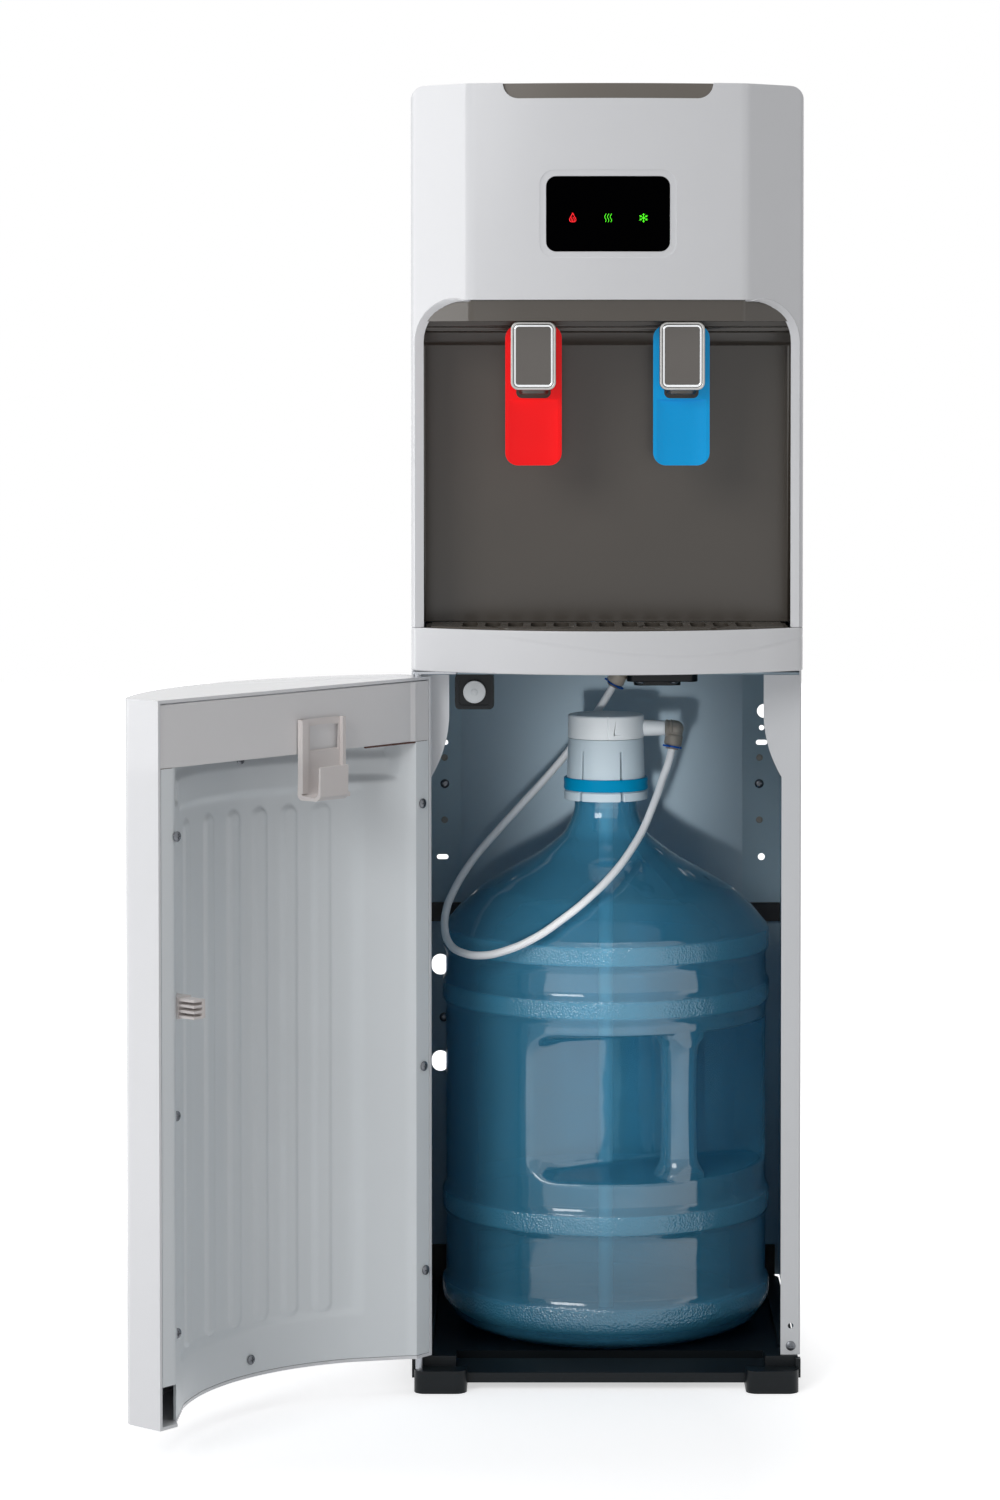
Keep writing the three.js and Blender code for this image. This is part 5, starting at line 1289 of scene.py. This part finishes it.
# %% The collar with its sprung slots
collar_profile = [(26.6, 457), (34.6, 456.4), (34.6, 463), (32.3, 464.6), (32.3, 475), (31.2, 507.2)]
collar_profile += [(7.5, 507.2), (7.5, 504.5), (26.6, 504.5)]
collar = spun("probe_sleeve", collar_profile, BOTTLE_X, BOTTLE_Y, 96)
for arm in range(6):
    wedge = slab("wedge", [(-1.4, 450), (1.4, 450), (0.5, 497.5), (-0.5, 497.5)], 20, 40, "XZ")
    turn = Matrix.Rotation(math.radians(-127.5 + 60 * arm - 90), 4, "Z")
    wedge.data.transform(Matrix.Translation((BOTTLE_X * MM, BOTTLE_Y * MM, 0)) @ turn)
    cut(collar, wedge)
soften(collar, 0.5, 2, 40.0)
dress(collar, COLLAR_WHITE, "cabinet", "frosted_plastic", "probe_collar")

# %% The blue ring and the dip tube
ring_profile = [(32.7, 464.5), (34.4, 464.5), (35, 465.4), (35, 467), (34.7, 469.5), (35, 472), (35, 473.6)]
ring_profile += [(34.4, 474.5), (32.7, 474.5)]
clamp = shade(spun("clamp_band", ring_profile, BOTTLE_X, BOTTLE_Y, 96), 40.0)
dress(clamp, RING_BLUE, "cabinet", "ring_blue", "probe_clamp_ring")
dip = spun("suction_pipe", [(4.6, 30), (6, 30), (6, 507.2), (4.6, 507.2)], BOTTLE_X, BOTTLE_Y, 40)
dress(shade(dip, 40.0), HOSE_WHITE, "cabinet", "tube_white", "dip_tube")


# %% [markdown]
# ## Push-in elbows
#
# Both ends of the hose go into beige elbows. Each has a blue locking clip under its mouth and a
# collet that grips the hose. A bent tube would do for one seen from afar, but these are seen close
# by, so turned shapes are put together, and one function makes both, as they are the same part.

# %% The mouth of an elbow
def soft_ring(name, profile):
    """A small ring with soft corners, spun about its own axis."""
    return spun(name, filleted(profile, 0.3) + [profile[0]])


def mouth(name, foot, towards):
    """The collar, the clip and the collet at the end of an elbow, from its foot outwards."""
    collar_line = [(0, 0), (6.6, 0), (6.6, 4), (7.4, 5), (7.4, 12), (6.4, 13.4), (0, 13.4)]
    body = spun(name, filleted(collar_line, 0.8), steps=48)
    clip = soft_ring(name + "_clip", [(3.6, 13.5), (6.4, 13.5), (6.4, 14.9), (3.6, 14.9)])
    tabs = [block("tab", s * 6.8 - 1.6, s * 6.8 + 1.6, -3.2, 3.2, 13.5, 15.0) for s in (-1, 1)]
    clip = gather(name + "_clip", [clip] + tabs)
    collet = soft_ring(name + "_collet", [(3.4, 14.6), (5.0, 14.6), (5.4, 16.4), (3.4, 16.4)])
    return [aim(shade(piece, 40.0), foot, towards) for piece in (body, clip, collet)]


# %% A whole elbow
def elbow(name, node, foot, towards, arm, knee_radius, knee_at, rings=()):
    """The mouth, the arm towards the machine, and a round knee between them."""
    body, clip, collet = mouth(name + "_mouth", foot, towards)
    half_turn = [i / 12 * math.pi for i in range(13)]
    knee_line = [(knee_radius * math.sin(t), -knee_radius * math.cos(t)) for t in half_turn]
    knee = aim(spun("knee", knee_line, steps=32), knee_at, (0, 0, 1))
    made = gather(name, [body, arm, knee, *rings])
    dress(shade(made, 40.0), FITTING_BEIGE, "cabinet", "fitting_beige", node)
    dress(clip, CLIP_BLUE, "cabinet", "ring_blue")
    dress(collet, FITTING_BEIGE, "cabinet", "fitting_beige")
    return made


# %% The elbow on the lid
SPIGOT_Z = 514.6
elbow_turn = Vector((BOTTLE_X + 57.6, 0.0, 513.6))
hose_start = Vector(HOSE_ROUTE[0]) / MM
down = (hose_start - elbow_turn).normalized()
ring_starts = (BOTTLE_X + 49.6, BOTTLE_X + 53.2)
elbow(
    "lid_elbow",
    "probe_elbow",
    hose_start - down * 16.0,
    down,
    rod("arm", (BOTTLE_X + 49.3, 0, SPIGOT_Z), (BOTTLE_X + 58, 0, SPIGOT_Z), 7.0, 6.8, steps=48),
    7.0,
    (BOTTLE_X + 57.8, 0, 514.2),
    [rod("ring", (x, 0, SPIGOT_Z), (x + 2, 0, SPIGOT_Z), 7.4, steps=48) for x in ring_starts],
)

# %% The elbow on the pump
hose_end = Vector(HOSE_ROUTE[-1]) / MM
up = (hose_end - Vector(HOSE_ROUTE[-2]) / MM).normalized()
pump_elbow = elbow(
    "pump_elbow",
    "pump_inlet_fitting",
    hose_end + up * 14.5,
    -up,
    rod("arm", (11.8, 30, 560), (18.7, 30, 560), 6.4, 6.2, steps=48),
    6.9,
    (12.2, 30, 561.5),
)
print("two elbows, one at each end of the hose")

# %% The pump under the roof
pump = slab("pump_case", rounded(19, 78, 2, 58, 6), 553, SHELF - GAP)
fuse(pump, slab("lid", rounded(25, 64, 8, 52, 5), 549.5, 554))
fuse(pump, block("tongue", 44, 92, 10, 20, 560, 564))
soften(pump, 0.8, 3)
dress(pump, BLACK_PLASTIC, "cabinet", "black_plastic", "water_pump")
pump_screws = screws("pump_screws", [(30, 4.4, 553.0), (58, 4.4, 553.0)], (0, 0, -1))
dress(pump_screws, SCREW_STEEL, "cabinet", "hinge_steel")

# %% [markdown]
# ## The door switch
#
# A black bezel under the roof holds a white button. The door's top edge presses it, and the machine
# knows that the door is shut. The two could be one shape, but the button travels, so it is turned
# by itself, and the bezel gets a bore and a well that leave it room.

# %% The bezel and the button
SWITCH_X = -105.0
SWITCH_Z = 557.0
TRAVEL = 4.0
BUTTON_RIM = 4.1


def switch_hole(name, depth, radius, **how):
    """A round hole into the bezel from its front."""
    return rod(name, (SWITCH_X, FLANGE, SWITCH_Z), (SWITCH_X, depth, SWITCH_Z), radius, **how)


button_front = low_high("door_switch_plunger")[0].y
outline = rounded(SWITCH_X - 15.5, SWITCH_X + 15.5, 543, SHELF - GAP, 3.5)
bezel = slab("switch_bezel", outline, FLANGE + 3, FLANGE + 26, "XZ")
outline = rounded(SWITCH_X - 12.5, SWITCH_X + 12.5, 546, SHELF - 2.4, 2.5)
cut(
    bezel,
    slab("dish", outline, FLANGE + 2, FLANGE + 5, "XZ"),
    switch_hole("rim_well", button_front + BUTTON_RIM + TRAVEL + GAP, 9.4, rim=0.01, steps=48),
    switch_hole("bore", FLANGE + 22.9, 4.5),
)
soften(bezel, 0.7, 3)
dress(bezel, BLACK_PLASTIC, "cabinet", "black_plastic", "door_switch_housing")
button_profile = [(0, 0), (2.2, 0), (2.2, -1.6), (2.6, -2.0), (7.6, -2.0), (8.2, -1.6), (8.9, -1.7)]
button_profile += [(8.9, -3.9), (4.2, -BUTTON_RIM), (4.2, -18), (0, -18)]
button = spun("door_button", button_profile, steps=48)
aim(button, (SWITCH_X, button_front, SWITCH_Z), (0, -1, 0))
dress(soften(button, 0.25, 2), LID_WHITE, "plunger", "white_plastic", "door_switch_plunger")
print("the button travels", TRAVEL, "mm")

# %% [markdown]
# ## The door
#
# The door is drawn shut, because its outline is the bow again, and then swung open about its pins.
# It has a white outer skin, a pressed grey lining with six ribs, and a band across its top that
# carries a hook for the probe. Ribs added one by one would keep hard feet, so the lining is a grid
# whose points are pushed in and out by soft steps, as a press does it.

# %% The swing about the pins
swing = next(joint for joint in frame["joints"] if joint["name"] == "door_hinge")
PIN = Vector(swing["pos_m"]) / MM
DOOR_OPEN = math.radians(swing["range_deg"][1])
to_pin = Matrix.Translation((swing["pos_m"][0], swing["pos_m"][1], 0.0))
SWUNG = to_pin @ Matrix.Rotation(-DOOR_OPEN, 4, "Z") @ to_pin.inverted()


def hang(piece, material, slot, *nodes):
    """Swings a piece that was drawn shut to where the drawing has it."""
    piece.data.transform(SWUNG)
    return dress(piece, material, "door", slot, *nodes)


# %% The lining's plan line
DOOR_HALF = 153.0
DOOR_LOW = 30.0
DOOR_HIGH = SHELF
DOOR_BACK = FLANGE - 3.0
BAND_LOW = 520.5
SAGITTA = 27.0
EDGE_X = 94.0


def lining_ahead(x):
    """How far the lining lies ahead of the flange plane."""
    off = abs(x)
    if off >= 135:
        return 3.0
    if off >= 130:
        return 3.0 + (135 - off) / 5 * 6
    if off >= EDGE_X:
        return 9.0 + (130 - off) / (130 - EDGE_X) * 28
    radius = (EDGE_X ** 2 + SAGITTA ** 2) / (2 * SAGITTA)
    return 64.0 - (radius - math.sqrt(radius ** 2 - off ** 2))


# %% The outer skin
DOOR_WALL = 2.5
BOSS_DEEP = 18
skin = slab("door_shell", bow(DOOR_HALF, False, 0.0, DOOR_BACK), DOOR_LOW, DOOR_HIGH)
inner_bow = bow(DOOR_HALF, False, DOOR_WALL, DOOR_BACK + 5)
cut(skin, slab("room", inner_bow, DOOR_LOW + DOOR_WALL, DOOR_HIGH - DOOR_WALL))
line = [(x, FLANGE - lining_ahead(x)) for x in range(-134, 135, 4)]
cut(skin, slab("mouth", line + [(136, DOOR_BACK + 3), (-136, DOOR_BACK + 3)], DOOR_LOW - 2, DOOR_LOW + 6))
for low, high in ((DOOR_LOW, DOOR_LOW + BOSS_DEEP), (DOOR_HIGH - BOSS_DEEP, DOOR_HIGH)):
    fuse(skin, rod("boss", (PIN.x, PIN.y, low), (PIN.x, PIN.y, high), 4.2, rim=0.2, steps=24))
    cut(skin, rod("bore", (PIN.x, PIN.y, low - 4), (PIN.x, PIN.y, high + 4), 3.3, steps=24))
soften(skin, 0.9, 3, 50.0)
hang(skin, WHITE_GLOSS, "white_gloss", "door_skin")

# %% The lining: a sheet with ribs, a sunk panel and a corner pocket
LINING_LOW = 32.9
PRESSED_HALF = 136.5
RIB_EDGES = (67.4, 30.0, -1.5, -29.4, -56.4, -83.2)
RIB_WIDTH = 15.0
RIB_RISE = 2.2
RIB_LOW = 71.0
RIB_HIGH = 474.0
PANEL_LOW = 66.0
PANEL_TOP = 488.0
POCKET_SILL = 489.0
CATCH = (114.8, 129.2, 332.8, 349.2)


def rib_rise(x, z):
    """Height of the ribs, with round ends and soft sides."""
    rise = 0.0
    for edge in RIB_EDGES:
        middle = edge + RIB_WIDTH / 2
        past = max(z - (RIB_HIGH - RIB_WIDTH / 2), (RIB_LOW + RIB_WIDTH / 2) - z, 0.0)
        off = math.hypot(x - middle, past)
        rise = max(rise, RIB_RISE * (1.0 - ease((off - RIB_WIDTH / 2 + 3.2) / 3.6)))
    return rise


def lining_depth(x, z):
    """Everything that is pressed into the sheet, deeper counted as more."""
    panel = ease((104.0 - abs(x)) / 7.0) * ease((z - PANEL_LOW) / 7.0) * ease((PANEL_TOP - z) / 7.0)
    pocket = ease((x + 128.0) / 6.0) * ease((-70.0 - x) / 8.0) * ease((z - POCKET_SILL) / 6.0)
    far_pocket = ease((x - 108.0) / 5.0) * ease((126.0 - x) / 4.0) * ease((z - POCKET_SILL) / 5.0)
    top = ease((z - 506.0) / 8.0) * ease((128.0 - abs(x)) / 6.0)
    return 3.4 * panel + 7.0 * pocket + 5.0 * far_pocket + 4.0 * top - rib_rise(x, z)


def steps_between(low, high, step):
    count = max(1, round((high - low) / step))
    return [low + (high - low) * i / count for i in range(count)]


flat_edge = [138.0, 142.0, 146.0, 149.8]
columns = [-x for x in reversed(flat_edge)] + steps_between(-PRESSED_HALF, -100.0, 1.6)
columns += steps_between(-100.0, 86.0, 1.6) + steps_between(86.0, PRESSED_HALF, 1.8) + flat_edge
levels = [LINING_LOW, 44.0, 52.0, 60.0] + steps_between(64.0, 82.0, 1.5) + steps_between(82.0, 460.0, 42.0)
levels += steps_between(460.0, 520.0, 1.6) + [520.2]


def lining_place(column, row):
    x, z = columns[column], levels[row]
    ahead = lining_ahead(x) + (lining_depth(x, z) if abs(x) < PRESSED_HALF else 0.0)
    return x, FLANGE - ahead - GAP, z


lining_sheet = grid_sheet("door_lining", len(columns), len(levels), lining_place, 2.0, 1.0)
x0, x1, z0, z1 = CATCH
cut(
    lining_sheet,
    block("catch_slot", x0 - GAP, x1 + GAP, FLANGE - 60, DOOR_BACK + 4, z0 - GAP, z1 + GAP),
    block("low_pin", PIN.x - 5, PIN.x + 5, PIN.y - 5, PIN.y + 5, DOOR_LOW, DOOR_LOW + 20),
    slab("corner", rounded(131.0, 160.0, 20.0, 62.0, 3.0), FLANGE - 30, DOOR_BACK + 4, "XZ"),
)
shade(lining_sheet, 45.0)
hang(lining_sheet, LINER_GREY, "liner_grey", "door_liner")
print("lining of the door:", len(lining_sheet.data.polygons), "faces")

# %% The band across the top, with its two slight bends
band_line = [(-150, -0.3), (-137, -0.3), (-134, 0.0), (-129, -0.9), (-60, -0.5), (119.5, -0.1), (150, -0.8)]
band_plan = [(x, DOOR_BACK + off) for x, off in band_line]
band_plan += [(x, y - 2.2) for x, y in reversed(band_plan)]
band = slab("door_top_band", band_plan, BAND_LOW, DOOR_HIGH - 3.4)
soften(band, 0.4, 2, 40.0, smooth=8.0)
hang(band, BAND_GREY, "liner_grey", "door_band")

# %% Painted shade: dark brown blocks in the gaps under the band
painted_gap_shades = [block("seam", x0, x1, DOOR_BACK - 2.6, DOOR_BACK - 0.6, BAND_LOW - 1.3, BAND_LOW - 0.1)
         for x0, x1 in ((137.5, 149.5), (-149.0, -76.0))]
hang(gather("door_painted_gap_shade", painted_gap_shades), PAINTED_GAP_SHADE, "liner_grey")

# %% The hook for the probe
HOOK_LEFT, HOOK_RIGHT = -46.0, 3.0
HOOK_LOW, HOOK_HIGH = 485.5, 547.0
back = DOOR_BACK + GAP
tip = 512.0 - HOOK_LOW
j_line = [(2.4, HOOK_HIGH - HOOK_LOW), (2.4, 8), (4.4, 3.6), (18, 2.4), (21.4, 5), (22.4, tip), (24, tip)]
j_line += [(23.6, 3), (20, 0), (3, 0), (0, 2.5), (0, HOOK_HIGH - HOOK_LOW)]
j_line = [(back + off, HOOK_LOW + rise) for off, rise in j_line]
hook = slab("probe_rest", filleted(j_line, 1.5, 2)[:-1], HOOK_LEFT, HOOK_RIGHT, "YZ")
cut(
    hook,
    block("short", HOOK_LEFT - 1, -28.5, back + 10, back + 40, HOOK_LOW - 2, 520),
    block("snap", -40.5, -8.5, back + 1.4, back + 6, 522, 541.5),
    block("slit", -34.0, -15.0, back - 2, back + 6, 541.0, 542.0),
)
for x0, x1 in ((HOOK_LEFT, HOOK_LEFT + 3.4), (HOOK_RIGHT - 6.4, HOOK_RIGHT)):
    fuse(hook, block("rail", x0, x1, back + 0.5, back + 5.4, HOOK_LOW + 5, HOOK_HIGH - 0.2))
soften(hook, 0.5, 2)
hang(hook, CREAM_PLASTIC, "white_plastic", "probe_hook")

# %% The catch, a small comb in its slot
COMB_TIP = DOOR_BACK + 11.6
TOOTH_LOW = 333.6
TOOTH_PITCH = 4.2
comb = block("door_comb", CATCH[0], CATCH[1], DOOR_BACK - 22, DOOR_BACK - 4, CATCH[2], CATCH[3])
fuse(comb, block("stem", 116, 119, DOOR_BACK - 5, COMB_TIP, 334, 348))
for z in [TOOTH_LOW + i * TOOTH_PITCH for i in range(4)]:
    fuse(comb, block("tooth", 118, 128, DOOR_BACK - 4.4, COMB_TIP, z, z + 2))
soften(comb, 0.45, 2)
hang(comb, CREAM_PLASTIC, "white_plastic", "door_catch")

# %% The lining's screws
on_edge = ((133.8, 469.4), (-142.3, 470.9), (-143.5, 262.2), (-145.2, 99.4))
flat = [(x, DOOR_BACK + 0.2, z) for x, z in on_edge]
flat += [(132.6, DOOR_BACK - 2.2, z) for z in (261.3, 99.2)]
sunk = [(x, FLANGE - lining_ahead(x) - lining_depth(x, z) + 0.4, z) for x, z in ((-1.2, 511.4), (-8.1, 44.0))]
door_screws = screws("lining_screws", flat + sunk, (0, 1, 0))
hang(door_screws, SCREW_STEEL, "hinge_steel")
print("the door hangs open at", round(math.degrees(DOOR_OPEN), 1), "degrees")

# %% [markdown]
# ## The back
#
# A black coil gives off the heat behind the machine. Rods and half rings could be put together to
# make it, but it is one long tube, so a curve draws it in one run. Upright wires stiffen it, as they
# do on most coils of this kind.

# %% The condenser
COIL_Y = BACK + 14.0
COIL_LOW = 300.0
COIL_HALF = 85.0
ROWS = 7
PITCH = 44.0
BULGE = 29.0
coil_high = COIL_LOW + PITCH * (ROWS - 1)
coil = bpy.data.curves.new("heat_coil", "CURVE")
coil.dimensions = "3D"
coil.bevel_depth = 2.6 * MM
coil.bevel_resolution = 3
coil.resolution_u = 8
coil.use_fill_caps = True
turns = coil.splines.new("BEZIER")
knots = []
for row in range(ROWS):
    ends = (-COIL_HALF, COIL_HALF) if row % 2 == 0 else (COIL_HALF, -COIL_HALF)
    knots += [(x, COIL_LOW + row * PITCH) for x in ends]
turns.bezier_points.add(len(knots) - 1)
for i, (knot, (x, z)) in enumerate(zip(turns.bezier_points, knots)):
    here = Vector((x, COIL_Y, z)) * MM
    outward = Vector((math.copysign(BULGE, x) * MM, 0.0, 0.0))
    knot.handle_left_type = knot.handle_right_type = "FREE"
    knot.co = here
    knot.handle_left = here - outward if i % 2 else here + outward
    knot.handle_right = here + outward if i % 2 else here - outward
coil_piece = bpy.data.objects.new("heat_coil", coil)
bpy.context.scene.collection.objects.link(coil_piece)
dress(coil_piece, BLACK_METAL, "cabinet", "black_metal", "condenser")

# %% Its wires and lugs
wire_y = COIL_Y - 3.2
wires = [rod("wire", (x, wire_y, COIL_LOW - 8), (x, wire_y, coil_high + 8), 0.8, rim=0.2, steps=8)
         for x in range(-84, 85, 12)]
lugs = [block("lug", x - 5, x + 5, BACK + 1.6, COIL_Y - 2.4, z - 6, z + 6)
        for x in (-78, 78) for z in (COIL_LOW, coil_high)]
grid = gather("coil_wires", [soften(lug, 0.6, 2) for lug in lugs] + wires)
dress(grid, BLACK_METAL, "cabinet", "black_metal")
print("a coil of", ROWS, "rows, on", len(lugs), "lugs")

# %% What the drawing shapes well enough
carry_over(INNER_STEEL, "back_panel", "compartment_shelf")
carry_over(BLACK_METAL, "rear_crossbar", "compressor")
carry_over(HINGE_STEEL, "upper_hinge", "lower_hinge_pin", "tank_platform")
carry_over(BOARD_GREEN, "control_board")
carry_over(FOAM_WHITE, "cold_tank_insulation")
carry_over(STAINLESS, "cold_tank", "hot_tank", "heater_band")
carry_over(COPPER, "evaporator_coil")
carry_over(HOSE_WHITE, "supply_line", "cold_water_line", "hot_water_line")
carry_over(BLACK_PLASTIC, "heating_switch_frame", "cooling_switch_frame", "power_inlet")
carry_over(ROCKER_RED, "heating_switch_rocker")
carry_over(ROCKER_GREEN, "cooling_switch_rocker")
carry_over(LID_WHITE, "drain_cap")
bpy.data.objects.remove(SCREW)

# %% [markdown]
# ## Light and floor
#
# A studio for white goods is a white room. One soft lamp stands to the left, a stronger one ahead on
# the left, a weak strip to the right and one overhead. A narrow low beam reaches into the
# compartment, and is linked to the pieces in there, so that it leaves the shut door alone. The room
# itself is the world: it looks pure white to the camera and in reflections, and gives a gentler
# level of light to the surfaces.

# %% The white room
PURE_WHITE = (1.0, 1.0, 1.0, 1.0)
world = bpy.data.worlds.new("white_room")
world.use_nodes = True
bpy.context.scene.world = world
sky = world.node_tree
level = sky.nodes["Background"]
level.inputs["Color"].default_value = PURE_WHITE
level.inputs["Strength"].default_value = 0.24
seen = put(sky, "Background", {"Color": PURE_WHITE, "Strength": 1.0}).outputs["Background"]


def directly_seen(tree):
    """1 for what the camera sees straight, in a mirror or through glass."""
    rays = put(tree, "LightPath", {}).outputs
    straight_or_mirrored = reckon(tree, "MAXIMUM", rays["Is Camera Ray"], rays["Is Glossy Ray"])
    return reckon(tree, "MAXIMUM", straight_or_mirrored, rays["Is Transmission Ray"])


choose = put(sky, "MixShader", {"Fac": directly_seen(sky), 1: level.outputs["Background"], 2: seen})
sky.links.new(choose.outputs["Shader"], sky.nodes["World Output"].inputs["Surface"])


# %% The lamps
def softbox(name, place, target, width, height, watts):
    data = bpy.data.lights.new(name, "AREA")
    data.shape = "RECTANGLE"
    data.size = width
    data.size_y = height
    data.energy = watts
    lamp = bpy.data.objects.new(name, data)
    lamp.location = place
    lamp.rotation_euler = (Vector(target) - Vector(place)).to_track_quat("-Z", "Y").to_euler()
    bpy.context.scene.collection.objects.link(lamp)
    return lamp


WAIST = (0.0, -0.1, 0.6)
softbox("side_left", (-3.0, -0.1, 1.3), WAIST, 1.3, 2.2, 27.0)
softbox("front_left", (-2.2, -3.9, 2.3), WAIST, 1.8, 1.8, 62.0)
softbox("strip_right", (2.3, -1.5, 1.0), WAIST, 0.35, 1.9, 1.2)
softbox("overhead", (0.0, -0.8, 3.2), (0.0, -0.1, 0.5), 1.6, 1.6, 12.0)
low_beam = softbox("low_beam", (-0.25, -2.35, 0.22), (-0.01, -0.1, 0.33), 0.08, 0.4, 0.09)
low_beam.data.spread = math.radians(5.0)
low_beam.visible_glossy = False
in_compartment = bpy.data.collections.new("in_compartment")
for piece in (bottle, lid, collar, clamp, dip, hose, pump_elbow, frame["nodes"]["back_panel"]):
    in_compartment.objects.link(piece)
low_beam.light_linking.receiver_collection = in_compartment

# %% The floor
FLOOR_MIDDLE = (-0.4, -0.35, 0.0)
bpy.ops.object.select_all(action="DESELECT")
bpy.ops.mesh.primitive_plane_add(size=14.0, location=(0.0, 0.0, 0.0))
floor = bpy.context.object
floor.name = "studio_floor"
paper = bpy.data.materials.new("white_paper")
paper.use_nodes = True
tree = paper.node_tree
diffuse = tree.nodes["Principled BSDF"]
diffuse.inputs["Base Color"].default_value = (0.82, 0.82, 0.83, 1.0)
diffuse.inputs["Roughness"].default_value = 0.9
diffuse.inputs["Specular IOR Level"].default_value = 0.1
spot = put(tree, "TexCoord", {}).outputs["Object"]
moved = put(tree, "VectorMath", {0: spot, 1: FLOOR_MIDDLE}, operation="SUBTRACT").outputs["Vector"]
away = put(tree, "VectorMath", {0: moved}, operation="LENGTH").outputs["Value"]
fading = {"From Min": 0.5, "From Max": 0.95, "To Min": 0.56, "To Max": 1.05}
fade = put(tree, "MapRange", {"Value": away, **fading}).outputs["Result"]
shine = put(tree, "Emission", {"Strength": reckon(tree, "MULTIPLY", directly_seen(tree), fade)})
both = put(tree, "AddShader", {0: diffuse.outputs["BSDF"], 1: shine.outputs["Emission"]})
tree.links.new(both.outputs["Shader"], tree.nodes["Material Output"].inputs["Surface"])
floor.data.materials.append(paper)

# %% [markdown]
# ## The last step
#
# The colours are shown as they are.

# %% Closing
bpy.context.scene.view_settings.view_transform = "Standard"
